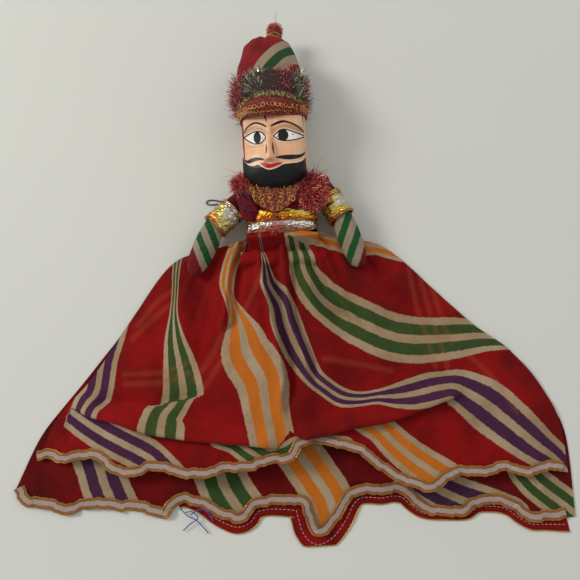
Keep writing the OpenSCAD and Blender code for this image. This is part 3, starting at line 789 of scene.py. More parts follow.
LIPS = [(-16.5, 62), (-12.5, 61.7), (-9, 61.1), (-7, 60.7), (-5, 61.1), (-1, 61.7), (3, 61.6), (0, 59.5),
        (-4, 58), (-7.5, 57), (-10, 57), (-13.5, 58.7)]
LIP_LINE = [(-15, 61.3, 0.3), (-9, 60.2, 0.5), (-6.5, 60.0, 0.5), (1.5, 61.0, 0.3)]
FACE_EDGES = [[(-30.4, 101, 1.3), (-29.6, 87.5, 1.3), (-29.4, 77, 1.0), (-29, 66.5, 0.7)],
              [(21.8, 104.5, 1.5), (22.6, 95.5, 1.5), (23.3, 88, 1.3), (23.5, 84.5, 0.7)]]
FOREHEAD_MARK = [(-11.6, 109.5, 1.4), (-10.7, 105.5, 1.3), (-9.6, 101, 1.0), (-7.6, 96, 0.3)]


def head_points():
    """Rings round the carved block, its front half finer, turned a little towards the left shoulder."""
    rows, front, back = 205, 176, 54
    y = np.linspace(CHIN_Y, 111, rows)
    wide = np.interp(y, (44.5, 45.3, 47, 48.8, 50.6, 53.6, 57, 63, 111),
                     (3, 8.5, 14, 18, 21.2, 24.8, 26.8, 27.6, 27.6))
    deep = np.interp(y, (44.5, 45.3, 47, 50.6, 55.5, 62, 72, 95, 111),
                     (3, 7, 11, 14.5, 17, 18.2, 18.6, 18.2, 17.4))
    rear = np.interp(y, (44.5, 45.3, 47, 50.6, 55.5, 62, 72, 111), (2, 4, 7, 10, 14, 18, 20, 20))
    for k in (wide, deep, rear):
        k[:] = np.convolve(np.pad(k, 4, "edge"), np.ones(9) / 9, "valid")
    a = np.r_[np.linspace(-np.pi / 2, np.pi / 2, front, endpoint=False),
              np.linspace(np.pi / 2, 3 * np.pi / 2, back, endpoint=False)]
    s, c = np.sin(a), np.cos(a)
    across = np.sign(s) * np.abs(s) ** 0.62
    x = wide[:, None] * across[None]
    depth = np.where(c > 0, deep[:, None] * np.abs(c[None]) ** 0.5, -rear[:, None] * np.abs(c[None]) ** 0.62)
    ridge = np.where(c > 0, 2.4 * (1 - np.abs(across)) ** 1.0, 0)[None] * ease(y, 44, 60)[:, None]
    z = depth + ridge - np.where(c > 0, 1.2, 0)[None]
    px = x * math.cos(HEAD_TURN) + z * math.sin(HEAD_TURN) - HEAD_SHIFT
    pz = -x * math.sin(HEAD_TURN) + z * math.cos(HEAD_TURN)
    pts = np.stack([px, np.broadcast_to(y[:, None], px.shape), pz + HEAD_Z], -1)
    # Nose: a wedge from the brows, wider and higher down to its tip
    line_x = np.interp(y, (60, 94), (-8.4, -7.8))[:, None]
    high = np.interp(y, (59.5, 61.8, 63.2, 66, 80, 94, 98), (0, 1.2, 8.2, 8.6, 6.2, 2.2, 0))[:, None]
    half = np.interp(y, (60, 63, 68, 82, 97), (4.0, 6.2, 5.4, 3.8, 3.4))[:, None]
    q = np.abs(pts[..., 0] - line_x) / half
    wedge = np.where(q < 1, 1 - 0.62 * q - 0.38 * ease(q, 0.45, 1.0), 0)
    facing = np.where(c > 0.05, 1, 0)[None]
    pts[..., 2] += high * np.clip(wedge, 0, 1) * facing
    # Eye hollows and lids, lips
    for ex, ey, rx, ry, d in ((-19.5, 85.5, 9, 6, 0.7), (8, 86.5, 12, 6, 0.7)):
        r = np.hypot((pts[..., 0] - ex) / rx, (pts[..., 1] - ey) / ry)
        pts[..., 2] += facing * (d * np.exp(-r ** 4) - 0.8 * np.exp(-((r - 1.35) / 0.3) ** 2))
    r = np.hypot((pts[..., 0] + 7) / 9, (pts[..., 1] - 59.5) / 2.6)
    pts[..., 2] += facing * 0.9 * np.exp(-r ** 3)
    return pts


def face_fields(pts):
    nearer = (PAINT_EYE[2] - PAINT_Z) / (PAINT_EYE[2] - pts[..., 2])
    x = PAINT_EYE[0] + (pts[..., 0] - PAINT_EYE[0]) * nearer
    y = PAINT_EYE[1] + (pts[..., 1] - PAINT_EYE[1]) * nearer
    deep = (pts[..., 0] + HEAD_SHIFT) * math.sin(HEAD_TURN) + (pts[..., 2] - HEAD_Z) * math.cos(HEAD_TURN)
    off = 8 * ease(5.0 - deep, 0, 2.5)       # only the beard goes round to the sides
    beard = np.where(deep > 4, inside(BEARD, x, y), pts[..., 1] - 60 - 5 * ease(deep, 0, 4))
    eyes = np.minimum(inside(EYE_LEFT, x, y), inside(EYE_RIGHT, x, y)) + off
    ink = np.minimum.reduce([stroke(b, x, y) - 0.22 + off for b in (BROW_LEFT, BROW_RIGHT, *MOUSTACHE)])
    ink = np.minimum(ink, beard)
    ink = np.minimum(ink, np.abs(eyes) - 0.55)
    for cx, cy, rx, ry in PUPILS:
        r = (np.hypot((x - cx) / rx, (y - cy) / ry) - 1) * rx
        ink = np.minimum(ink, np.maximum(r, eyes))
    wine = np.minimum.reduce([stroke(b, x, y) - 0.18 for b in (*NOSE_LINES, *FACE_EDGES, FOREHEAD_MARK,
                                                               LIP_LINE)])
    for cx, cy, rx, ry in CORNER_DOTS:
        wine = np.minimum(wine, (np.hypot((x - cx) / rx, (y - cy) / ry) - 1) * rx)
    wine = wine + off
    # Painted shade: the skin darkens to brown in the carved hollows between the brows and the eyes.
    lids = np.minimum(np.hypot((x + 19.5) / 10.5, (y - 89) / 7.5), np.hypot((x - 8) / 15.5, (y - 90) / 7.5))
    lids = lids + off
    lips = inside(LIPS, x, y) + off
    # Painted highlights: thin pale lines beside the nose lines, round the eyes, along the beard's edge and
    # under the lower lip.
    pale = np.minimum.reduce([np.abs(stroke(b, x, y) - 0.9) for b in NOSE_LINES] + [
        np.abs(eyes - 1.25), np.abs(beard - 0.9), np.abs(lips - 0.8) + np.where(y > 61, 2, 0)])
    return {"ink": ink, "white": eyes, "wine": wine, "lips": lips, "lids": lids, "pale": pale}


def face_stuff():
    """Lacquered wood: skin, black hair, white eyes, dark red lines, red lips, with painted shade over the
    eyes and painted highlights beside the features.
    """
    s = Stuff("painted wood", Coat_Roughness=0.1, Specular_IOR_Level=0.3)
    wob = 0.12 * (s.noise(700, 2) - 0.5)
    grain = s.noise(90, 4, 0.6, s.place((1, 0.12, 1)))
    brush = s.noise(260, 3, 0.5, s.place((1, 0.25, 1)))
    skin = s.mix(s.step(grain, 0.3, 0.7), paint(238, 190, 152), paint(224, 168, 126))
    # painted shade in the hollows over the eyes
    skin = s.mix(s.step(s.field("lids"), 1.05, 0.72, 0, 0.75), skin, paint(172, 122, 84))
    # painted highlights beside the painted features
    skin = s.mix(s.step(s.field("pale"), 0.75, 0.1, 0, 0.7), skin, paint(246, 212, 186))
    colour = s.mix(s.step(s.field("white") + wob, 0.12, -0.12), skin, paint(238, 234, 228))
    colour = s.mix(s.step(s.field("wine") + wob, 0.14, -0.14), colour, paint(118, 18, 20))
    colour = s.mix(s.step(s.field("ink") + wob, 0.14, -0.14), colour,
                   s.mix(s.step(brush, 0.35, 0.7), paint(6, 7, 8), paint(17, 18, 20)))
    colour = s.mix(s.step(s.field("lips") + wob, 0.14, -0.14), colour,
                   s.mix(brush, paint(196, 28, 34), paint(158, 16, 22)))
    black = s.step(s.field("ink"), 0.1, -0.1)
    return s.done(colour, 0.42 + 0.14 * grain + 0.1 * black, s.bump(brush + 0.5 * grain, 0.00012), None,
                  0.14 - 0.04 * black)


head_grid = head_points()
points, faces = shell(head_grid)
head_marks = face_fields(head_grid)
carved_head = piece("carved_head_painted", points, faces, face_stuff(),
                    {k: np.r_[v.ravel(), v[0].mean(), v[-1].mean()] for k, v in head_marks.items()})
finish_piece(carved_head, "torso", "painted_wood", "carved_head")


# ---------- turban ----------

TURBAN_PROFILE = np.array([
    # place along the head, sideways lean, radius
    (108, -5.6, 26.8), (112, -5.6, 27.6), (131, -5.6, 28.4), (150, -5.2, 29.2), (160, -5.6, 27.9),
    (170, -5.6, 25.2), (179, -6.2, 22.6), (184.5, -5.2, 18.8), (188.0, -3.6, 13.2), (190.5, -1.4, 8.2),
    (193, 0.0, 6.0), (196, 0.4, 5.2)])


def turban_ring(y):
    """Middle and radius of the turban at a place along the head."""
    return (np.interp(y, TURBAN_PROFILE[:, 0], TURBAN_PROFILE[:, 1]),
            np.interp(y, TURBAN_PROFILE[:, 0], TURBAN_PROFILE[:, 2]))


KNOB_DROOP = 8.0         # the soft knob hangs a little towards the surface


def turban_points():
    rows, cols = 130, 200
    y = np.linspace(108.5, 196, rows)
    lean, r = turban_ring(y)
    r = np.convolve(np.pad(r, 3, "edge"), np.ones(7) / 7, "valid")
    a = np.linspace(0, 2 * np.pi, cols, endpoint=False)[None]
    fold_in = ease(y, 172, 194)[:, None]
    gather = 0.9 * fold_in * np.sin(11 * a + 2 * np.sin(3 * a) + 0.04 * y[:, None])
    gather += 0.45 * np.sin(3 * a + y[:, None] / 9) + 0.25 * np.sin(7 * a - y[:, None] / 5)
    tuck = -2.6 * np.exp(-((a - 1.75) / 0.13) ** 2) * ease(y, 165, 184)[:, None]
    rad = np.maximum(r[:, None] + gather + tuck, 3.5)
    x = lean[:, None] + rad * np.cos(a)
    z = np.minimum(np.maximum(32 + rad * np.sin(a), 1.0), 62.0) - KNOB_DROOP * ease(y, 180, 197)[:, None]
    return np.stack([x, np.broadcast_to(y[:, None], x.shape), z], -1)


TURBAN_BAND = [(-24, 118, 12), (-14, 133, 12), (-4, 147, 12), (7, 160, 11.5), (17, 171, 11), (26, 181, 10.5)]


def band_across(band, x, y):
    """Signed place across one band, from -1 to 1."""
    line = smooth_line(band, 3.0)
    side, where, _ = beside(line, x, y)
    run = run_along(line[:, :2])
    return side / np.interp(where, run / run[-1], line[:, 2])


def turban_stuff():
    s = Stuff("turban cloth", Sheen_Weight=0.05, Sheen_Roughness=0.5, Specular_IOR_Level=0.15)
    warp, weft = s.weave(0.0007, 0.6)
    cloud = s.noise(60, 4)
    base = s.mix(s.step(cloud, 0.3, 0.7), paint(158, 14, 20), paint(118, 7, 12))
    q = s.field("band")
    a = abs(q)
    band = s.step(a, 1.03, 0.98)
    tint = s.step(a, 0.36, 0.32)
    print_tone = s.mix(tint, paint(176, 154, 128), paint(24, 80, 38))
    colour = s.mix(band, base, print_tone)
    thread = 0.5 + 0.25 * (warp + weft)
    colour = s.mix(0.18 * thread, colour, paint(90, 8, 12))
    return s.done(colour, 0.72, s.bump(thread + 1.2 * s.noise(240, 4), 0.0004))


turban_grid = turban_points()
points, faces = shell(turban_grid)
across_band = band_across(TURBAN_BAND, turban_grid[..., 0], turban_grid[..., 1])
across_band = np.where(turban_grid[..., 2] > 30, across_band, 4.0)
turban = piece("turban_cloth", points, faces, turban_stuff(), {"band": np.r_[across_band.ravel(), 4.0, 4.0]})
finish_piece(turban, "torso", "turban_cloth", "turban_wrap")


# ---------- what repeats: strands, loops and stitches ----------

def repeat_tree(name, shape, stuff):
    """A tree that puts one small shape on every point, aimed along the point's own direction."""
    tree = bpy.data.node_groups.new(name, "GeometryNodeTree")
    face = tree.interface
    face.new_socket("Geometry", in_out="INPUT", socket_type="NodeSocketGeometry")
    for label, kind in (("Length", "NodeSocketFloat"), ("Thickness", "NodeSocketFloat"),
                        ("Curl", "NodeSocketFloat"), ("Seed", "NodeSocketInt")):
        face.new_socket(label, in_out="INPUT", socket_type=kind)
    face.new_socket("Geometry", in_out="OUTPUT", socket_type="NodeSocketGeometry")

    def add(kind, settings=None, inputs=None):
        made = tree.nodes.new(kind)
        for key, value in (settings or {}).items():
            setattr(made, key, value)
        for key, value in (inputs or {}).items():
            if isinstance(value, bpy.types.NodeSocket):
                tree.links.new(value, made.inputs[key])
            else:
                made.inputs[key].default_value = value
        return made

    given = add("NodeGroupInput").outputs
    if shape == "strand":
        one = add("GeometryNodeMeshCone", None, {
            "Vertices": 4, "Side Segments": 4, "Radius Top": 0.00006, "Radius Bottom": given["Thickness"],
            "Depth": given["Length"]})
        spot = add("ShaderNodeSeparateXYZ", None, {0: add("GeometryNodeInputPosition").outputs[0]}).outputs
        share = add("ShaderNodeMath", {"operation": "DIVIDE"}, {0: spot[2], 1: given["Length"]}).outputs[0]
        square = add("ShaderNodeMath", {"operation": "POWER"}, {0: share, 1: 2.0}).outputs[0]
        curl = add("ShaderNodeMath", {"operation": "MULTIPLY"}, {0: square, 1: given["Curl"]}).outputs[0]
        move = add("ShaderNodeCombineXYZ", None, {0: curl}).outputs[0]
        solid = add("GeometryNodeSetPosition", None, {"Geometry": one.outputs[0], "Offset": move}).outputs[0]
    elif shape == "loop":
        ring = add("GeometryNodeCurvePrimitiveCircle", None, {"Resolution": 12, "Radius": given["Length"]})
        wire = add("GeometryNodeCurvePrimitiveCircle", None, {"Resolution": 5, "Radius": given["Thickness"]})
        solid = add("GeometryNodeCurveToMesh", None, {0: ring.outputs[0], 1: wire.outputs[0]}).outputs[0]
    else:
        one = add("GeometryNodeMeshCylinder", None, {
            "Vertices": 6, "Side Segments": 2, "Radius": given["Thickness"], "Depth": given["Length"]})
        solid = one.outputs[0]
    aim = add("GeometryNodeInputNamedAttribute", {"data_type": "FLOAT_VECTOR"}, {"Name": "aim"}).outputs[0]
    size = add("GeometryNodeInputNamedAttribute", {"data_type": "FLOAT"}, {"Name": "size"}).outputs[0]
    turn = add("FunctionNodeAlignRotationToVector", {"axis": "Z"}, {"Vector": aim}).outputs[0]
    spin = add("FunctionNodeRandomValue", {"data_type": "FLOAT"},
               {"Min": 0.0, "Max": 0.0 if shape in ("loop", "stitch") else 6.283, "Seed": given["Seed"]})
    roll = next(o for o in spin.outputs if o.enabled and o.type == "VALUE")
    about = add("FunctionNodeAxisAngleToRotation", None, {"Axis": (0, 0, 1), "Angle": roll}).outputs[0]
    both = add("FunctionNodeRotateRotation", {"rotation_space": "LOCAL"}, {0: turn, 1: about}).outputs[0]
    placed = add("GeometryNodeInstanceOnPoints", None, {
        "Points": given["Geometry"], "Instance": solid, "Rotation": both, "Scale": size}).outputs[0]
    real = add("GeometryNodeRealizeInstances", None, {0: placed}).outputs[0]
    done = add("GeometryNodeSetMaterial", None, {"Geometry": real, "Material": stuff}).outputs[0]
    add("NodeGroupOutput", None, {"Geometry": done})
    return tree


def repeat(name, shape, stuff, spots, aims, length, thick, curl=0.0, sizes=None, fields=None, seed=1):
    """Puts the shape on every spot and returns the result as one plain mesh."""
    spots = np.asarray(spots, float).reshape(-1, 3)
    carrier = bpy.data.meshes.new(name + "_spots")
    carrier.from_pydata(metres(spots).tolist(), [], [])
    layer = carrier.attributes.new("aim", "FLOAT_VECTOR", "POINT")
    layer.data.foreach_set("vector", np.ascontiguousarray(unit(aims), dtype=np.float32).ravel())
    for key, value in {"size": np.ones(len(spots)) if sizes is None else sizes, **(fields or {})}.items():
        layer = carrier.attributes.new(key, "FLOAT", "POINT")
        layer.data.foreach_set("value", np.ascontiguousarray(value, dtype=np.float32))
    holder = bpy.data.objects.new(name + "_spots", carrier)
    bpy.context.scene.collection.objects.link(holder)
    tree = repeat_tree(name + " rule", shape, stuff)
    modifier = holder.modifiers.new("rule", "NODES")
    modifier.node_group = tree
    values = {"Length": length / 1000, "Thickness": thick / 1000, "Curl": curl / 1000, "Seed": seed}
    for item in tree.interface.items_tree:
        if item.item_type == "SOCKET" and item.in_out == "INPUT" and item.name in values:
            modifier[item.identifier] = values[item.name]
    graph = bpy.context.evaluated_depsgraph_get()
    mesh = bpy.data.meshes.new_from_object(holder.evaluated_get(graph), preserve_all_data_layers=True,
                                           depsgraph=graph)
    bpy.data.objects.remove(holder)
    mesh.name = name
    if not mesh.materials:
        mesh.materials.append(stuff)
    obj = bpy.data.objects.new(name, mesh)
    bpy.context.scene.collection.objects.link(obj)
    return obj


# ---------- tinsel, braid and foil finishes ----------

def tinsel_stuff(name, tones, rough=0.22, metal=0.85):
    """Shredded foil: one tone for each part of the tone field, glinting as it turns, with near-white painted
    glints spotted on its colour.
    """
    s = Stuff(name, Specular_IOR_Level=0.6)
    tone = s.field("tone")
    colour = tones[0]
    for k, shade in enumerate(tones[1:], 1):
        edge = k / len(tones)
        colour = s.mix(s.step(tone, edge - 0.01, edge + 0.01), colour, shade)
    glint = s.noise(900, 2)
    # Painted glints: near-white spots painted into the colour
    colour = s.mix(s.step(glint, 0.5, 0.62, 0, 0.5), colour, paint(255, 238, 226))
    return s.done(colour, rough + 0.25 * glint, s.bump(glint, 0.0002), metal)


def braid_stuff(name, light, dark, metal=0.3):
    """Looped yarn: a rough pile with a few bright metallic fibres."""
    s = Stuff(name)
    pile = s.cells(1100)
    tuft = s.noise(500, 4, 0.7)
    colour = s.mix(s.step(pile, 0.15, 0.6), light, dark)
    colour = s.mix(s.step(tuft, 0.6, 0.72, 0, 0.5), colour, GOLD)
    return s.done(colour, 0.6, s.bump(1.2 * tuft - pile, 0.0007), metal * s.step(tuft, 0.5, 0.7))


def foil_stuff(name, light, middle, dark, scale=110):
    """Crumpled metallised film: sharp little planes between creases."""
    s = Stuff(name, Metallic=0.95, Specular_IOR_Level=0.6)
    crease = s.cells(scale, s.place((1, 2.2, 1)), "SMOOTH_F1")
    fine = s.noise(scale * 4, 3)
    cloud = s.noise(scale * 0.45, 3, 0.5, s.place((0.5, 2.4, 1)))
    tone = s.field("tone")
    colour = s.mix(s.step(tone + 0.5 * (cloud - 0.5), 0.15, 0.5), light, middle)
    colour = s.mix(s.step(tone + 0.5 * (cloud - 0.5), 0.55, 0.95), colour, dark)
    return s.done(colour, 0.16 + 0.22 * fine, s.bump(crease + 0.25 * fine + 0.8 * cloud, 0.0022))


def scatter_ring(count, y_low, y_high, ring_at, a_low=0.0, a_high=2 * math.pi, even=False):
    """Spots on a ring round the head: points, outward directions and angles."""
    a = np.linspace(a_low, a_high, count, endpoint=False) if even else rng.uniform(a_low, a_high, count)
    y = rng.uniform(y_low, y_high, count) if y_high > y_low else np.full(count, float(y_low))
    middle_x, half_x, front, back = ring_at(y)
    x = middle_x + half_x * np.cos(a)
    z = 32 + np.where(np.sin(a) > 0, front - 32, 32 - back) * np.sin(a)
    out = np.stack([np.cos(a), 0 * a, np.sin(a)], 1)
    return np.stack([x, y, z], 1), out, a


BAND_RISE = 0.4          # how fast its lower edge climbs towards the back of the head
BAND_X, BAND_Z = -5.4, 32                                 # its middle
BAND_HALF, BAND_FRONT, BAND_BACK = 27.2, 21.4, 27.5       # its reach to the sides, front and back
BAND_LEAN = 7.6          # how much further forward its upper edge is
BAND_EDGES = (101, 112)  # where along the head it starts and stops leaning
head_row = head_grid[np.argmin(np.abs(head_grid[:, 0, 1] - 104))]
HEAD_ANGLE = np.arctan2(head_row[:, 2] - BAND_Z, head_row[:, 0] - BAND_X)
HEAD_REACH = np.hypot(head_row[:, 2] - BAND_Z, head_row[:, 0] - BAND_X)


def band_ring(y, extra=0.0):
    """The forehead band leans in to the brow at its lower edge."""
    lift = ease(y, *BAND_EDGES)
    return (BAND_X + 0 * y, BAND_HALF + extra + 0 * y, BAND_Z + BAND_FRONT + BAND_LEAN * lift + extra,
            BAND_Z - BAND_BACK - extra + 0 * y)


def level(points):
    """Keeps the band clear of the brow and raises its lower edge towards the back of the head."""
    out = np.array(points, float)
    x, z = out[..., 0] - BAND_X, out[..., 2] - BAND_Z
    angle, reach = np.arctan2(z, x), np.hypot(x, z)
    front = BAND_FRONT + BAND_LEAN * ease(out[..., 1], *BAND_EDGES)
    oval = 1 / np.hypot(np.cos(angle) / BAND_HALF, np.sin(angle) / np.where(z > 0, front, BAND_BACK))
    wanted = np.interp(angle, HEAD_ANGLE, HEAD_REACH, period=2 * np.pi) + 0.6
    grown = 1 + np.where(z > -12, np.maximum(0, wanted - oval), 0) / np.maximum(reach, 1)
    out[..., 0], out[..., 2] = x * grown + BAND_X, z * grown + BAND_Z
    rise = BAND_RISE * np.clip(60 - out[..., 2], 0, 28) * ease(120 - out[..., 1], 0, 17)
    out[..., 1] += rise
    return out


def turban_outer(y, extra=0.0):
    lean, r = turban_ring(y)
    return lean, r + extra, np.minimum(32 + r + extra, 62.6), np.maximum(32 - r - extra, 0.8)


def around_shell(section, ring_at, cols=180):
    """A closed band: its section is (place along the head, how far out) all the way round."""
    a = np.linspace(0, 2 * np.pi, cols, endpoint=False)
    rows = []
    for y, extra in section:
        middle_x, half_x, front, back = ring_at(np.array(float(y)), extra)
        rows.append(np.stack([middle_x + half_x * np.cos(a), np.full(cols, y),
                              32 + np.where(np.sin(a) > 0, front - 32, 32 - back) * np.sin(a)], 1))
    rings = np.array(rows)
    faces = closed_faces(len(rows), cols)
    points = rings.reshape(-1, 3)
    p, q, r = (points[[f[k] for f in faces]] for k in (0, 1, 2))
    if np.einsum("ij,ij->i", p - [0, 110, 32], np.cross(q - p, r - p)).sum() < 0:
        faces = [f[::-1] for f in faces]
    return points, faces


def oval_section(y0, y1, out, steps=9):
    """A flat oval section between two places along the head."""
    t = np.linspace(0, 2 * np.pi, steps * 2, endpoint=False)
    return [((y0 + y1) / 2 - (y1 - y0) / 2 * math.cos(k), out * math.sin(k) * (1 if math.sin(k) > 0 else 0.3))
            for k in t]


rust_mat = braid_stuff("rust braid", paint(176, 52, 30), paint(96, 20, 16), 0.4)
loop_mat = Stuff("gold loops", Metallic=0.7)
loop_mat = loop_mat.done(
    loop_mat.mix(loop_mat.step(loop_mat.noise(160), 0.4, 0.62), paint(246, 176, 92), paint(206, 150, 74)),
    0.34, loop_mat.bump(loop_mat.noise(2400), 0.00012))

points, faces = around_shell(oval_section(101.2, 119.2, 1.4), band_ring)
finish_piece(piece("forehead_band_braid", level(points), faces, rust_mat), "torso", "loop_braid",
             "forehead_band")

# Looped chains round the band, in two rows, and the pile under them
spots, out, angle = scatter_ring(46, 109.6, 109.6, band_ring, even=True)
more, out2, _ = scatter_ring(50, 105.4, 105.4, band_ring, even=True)
spots = np.vstack([spots + out * 1.8 + rng.normal(0, 0.35, spots.shape), more + out2 * 1.6
                   + rng.normal(0, 0.35, more.shape)])
aims = np.vstack([out, out2]) + rng.normal(0, 0.22, (96, 3))
sizes = np.r_[rng.uniform(0.85, 1.25, 46), rng.uniform(0.55, 0.8, 50)]
finish_piece(repeat("forehead_band_loops", "loop", loop_mat, level(spots), aims, 1.9, 0.33, sizes=sizes,
                    seed=3),
             "torso", "loop_braid")

pile_mat = tinsel_stuff("rust pile", [paint(170, 34, 26), paint(206, 72, 40), paint(130, 18, 20),
                                      paint(228, 140, 80)], 0.4, 0.35)
spots, out, angle = scatter_ring(1500, 101.6, 118.4, band_ring)
aims = out * 0.5 + rng.normal(0, 0.7, spots.shape)
finish_piece(repeat("forehead_band_pile", "strand", pile_mat, level(spots + out * 0.8), aims, 2.1, 0.2, 0.9,
                    rng.uniform(0.6, 1.2, 1500), {"tone": rng.uniform(0, 1, 1500)}, 4), "torso", "loop_braid")

fringe_mat = tinsel_stuff("green gold fringe", [paint(168, 168, 74), paint(206, 170, 84), paint(96, 110, 52),
                                                  paint(120, 40, 28)], 0.28, 0.8)
spots, out, angle = scatter_ring(560, 116.6, 119.0, band_ring)
aims = out * 0.35 + [0, 1, 0] + rng.normal(0, 0.3, spots.shape)
finish_piece(repeat("forehead_band_fringe", "strand", fringe_mat, spots + out * 1.7, aims, 3.6, 0.3, 0.8,
                    rng.uniform(0.7, 1.15, 560), {"tone": rng.uniform(0, 1, 560)}, 5), "torso", "tinsel")

# Garland: a core with thousands of foil strands, dark red, green and silver by turns; the core is a real
# part, made dark as painted shade deep among the strands
garland_core_and_shade_mat = braid_stuff("garland core", paint(84, 20, 32), paint(34, 20, 24))
points, faces = around_shell(oval_section(119, 143, 2.6), turban_outer)
finish_piece(piece("turban_garland_core_and_shade", points, faces, garland_core_and_shade_mat), "torso", "tinsel")

GARLAND_TONES = [paint(34, 78, 44), paint(150, 172, 118), paint(232, 236, 224), paint(158, 22, 40),
                 paint(112, 14, 44), paint(206, 52, 60), paint(84, 30, 40)]


def garland_tone(x, count):
    """Which foil a strand is cut from, by where it sits across the head."""
    r = rng.uniform(0, 1, count)
    green = np.where(r < 0.5, 0, np.where(r < 0.8, 1, 2))
    red = np.where(r < 0.45, 3, np.where(r < 0.75, 4, 5))
    dull = np.where(r < 0.4, 3, np.where(r < 0.7, 5, 1))
    x = x + rng.normal(0, 1.6, count)
    pick = np.where(x < -27, red, np.where(x < -11, green, np.where(x < -4, dull, np.where(
        x < 13, red, np.where(x < 22, green, red)))))
    return (pick + 0.5) / len(GARLAND_TONES)


garland_mat = tinsel_stuff("garland foil", GARLAND_TONES, 0.2, 0.85)
count = 2700
spots, out, angle = scatter_ring(count, 120, 143, turban_outer)
share = ((spots[:, 1] - 120) / 23)[:, None]
aims = out * (1.0 - 0.35 * share) + [0, 0.75, 0] * (0.25 + share) + rng.normal(0, 0.42, spots.shape)
sizes = rng.uniform(0.45, 1.2, count) * (0.75 + 0.35 * (np.abs(np.cos(angle)) > 0.8))
sizes = sizes * (1 - 0.62 * np.exp(-((spots[:, 0] + 6) / 6.0) ** 2))
spots = spots + out * 1.2
spots[:, 2] = np.clip(spots[:, 2], 1.6, 61.5)
aims[:, 2] = np.where(spots[:, 2] < 8, np.abs(aims[:, 2]) * 0.2, np.where(spots[:, 2] > 57, aims[:, 2] * 0.55,
                                                                     aims[:, 2]))
finish_piece(repeat("turban_garland_foil", "strand", garland_mat, spots, aims, 8.4, 0.42, 1.6, sizes,
                    {"tone": garland_tone(spots[:, 0], count)}, 6),
             "torso", "tinsel", "turban_garland")

wisp_mat = tinsel_stuff("loose wisps", [paint(60, 34, 40), paint(120, 70, 76), paint(90, 90, 80)], 0.35, 0.5)
count = 34
left = np.linspace(0, 1, count) < 0.55
a = np.where(left, rng.uniform(2.9, 3.5, count), rng.uniform(-0.35, 0.25, count))
y = rng.uniform(104, 146, count)
lean, r = turban_ring(y)
spots = np.stack([lean + r * np.cos(a), y, 32 + r * np.sin(a)], 1)
aims = np.stack([np.cos(a) * 1.0, rng.normal(0.15, 0.6, count), rng.normal(0.1, 0.35, count)], 1)
finish_piece(repeat("turban_loose_wisps", "strand", wisp_mat, spots, aims, 13, 0.12, 3.5,
                    rng.uniform(0.6, 1.3, count), {"tone": rng.uniform(0, 1, count)}, 7), "torso", "tinsel")

count = 30
left = np.arange(count) % 2 == 0
spots = np.stack([np.where(left, -31, 27) + rng.normal(0, 4, count), rng.uniform(40, 62, count),
                  rng.uniform(27, 34, count)], 1)
aims = np.stack([np.where(left, -1.0, 1.0), rng.normal(0.5, 0.6, count), rng.uniform(0.1, 0.7, count)], 1)
finish_piece(repeat("shoulder_loose_wisps", "strand", wisp_mat, spots, aims, 14, 0.13, 3.5,
                    rng.uniform(0.6, 1.3, count), {"tone": rng.uniform(0, 1, count)}, 12), "torso", "tinsel")

# Knob and its gold winding
KNOB = (1.2, 206.2, 24.2)
red_fluff = tinsel_stuff("knob yarn", [paint(190, 28, 30), paint(150, 16, 22), paint(216, 70, 56)], 0.5, 0.2)
count = 620
d = unit(rng.normal(0, 1, (count, 3)))
d[:, 1] = np.where(d[:, 1] < -0.4, -d[:, 1], d[:, 1])
aims = d + rng.normal(0, 0.5, d.shape)
finish_piece(repeat("turban_knob_yarn", "strand", red_fluff, np.array(KNOB) + d * 5.6, aims, 2.6, 0.28,
                    1.1, rng.uniform(0.6, 1.5, count), {"tone": rng.uniform(0, 1, count)}, 8), "torso",
             "red_thread")
turns = np.linspace(0, 2 * np.pi, 40, endpoint=False)
core_rows = [(191.5, 5.4), (196, 6.2), (200.4, 5.8), (202.2, 5.6), (204.4, 6.1), (207.4, 6.1), (210, 4.8),
             (211.8, 2.4)]
rings = np.array([np.stack([0.4 + 0.8 * ease(y, 196, 206) + r * np.cos(turns), np.full(40, y),
                            24.2 + r * np.sin(turns)], 1) for y, r in core_rows])
points, faces = shell(rings)
finish_piece(piece("turban_knob_core", points, faces, braid_stuff("knob braid", paint(176, 26, 30),
                                                                  paint(110, 12, 18))),
             "torso", "red_thread", "turban_knob", "knob_binding")
wind = np.linspace(0, 2 * np.pi * 8, 8 * 40)
line = np.stack([0.4 + 6.6 * np.cos(wind) * (1 + 0.05 * np.sin(9 * wind)), 192.4 + 9.0 * wind / wind[-1]
                 + 0.5 * np.sin(wind * 1.3), 24.2 + 6.6 * np.sin(wind)], 1)
points, faces, fields = tube(line, 0.62, 8, 2, 2.4, up=(0, 1, 0))
# The winding is painted gold on the crests of its plies and dark brown in the grooves between them: painted
# highlight and painted shade.
wind_mat = Stuff("gold cord", Metallic=0.6)
wind_mat = wind_mat.done(
    wind_mat.mix(wind_mat.step(wind_mat.field("strand"), -0.6, 0.8), paint(66, 38, 26), paint(206, 156, 74)),
    0.4, wind_mat.bump(wind_mat.field("strand") + wind_mat.noise(900), 0.0002))
finish_piece(piece("knob_gold_winding", points, faces, wind_mat, fields), "torso", "gold_braid")
line = smooth_line([(2, 209, 28), (3, 214, 29), (2.4, 220, 28), (4.6, 226, 26)], 0.5)
points, faces, fields = tube(line, 0.16, 6)
finish_piece(piece("knob_stray_thread", points, faces, wind_mat, fields), "torso", "red_thread")


# ---------- body ----------

def body_ring(y, half, low, high, power=0.62, cols=150, lean=0.0):
    a = np.linspace(0, 2 * np.pi, cols, endpoint=False)
    c, s = np.cos(a), np.sin(a)
    return np.stack([lean + half * np.sign(c) * np.abs(c) ** power, np.full(cols, float(y)),
                     (low + high) / 2 + (high - low) / 2 * np.sign(s) * np.abs(s) ** power], 1)


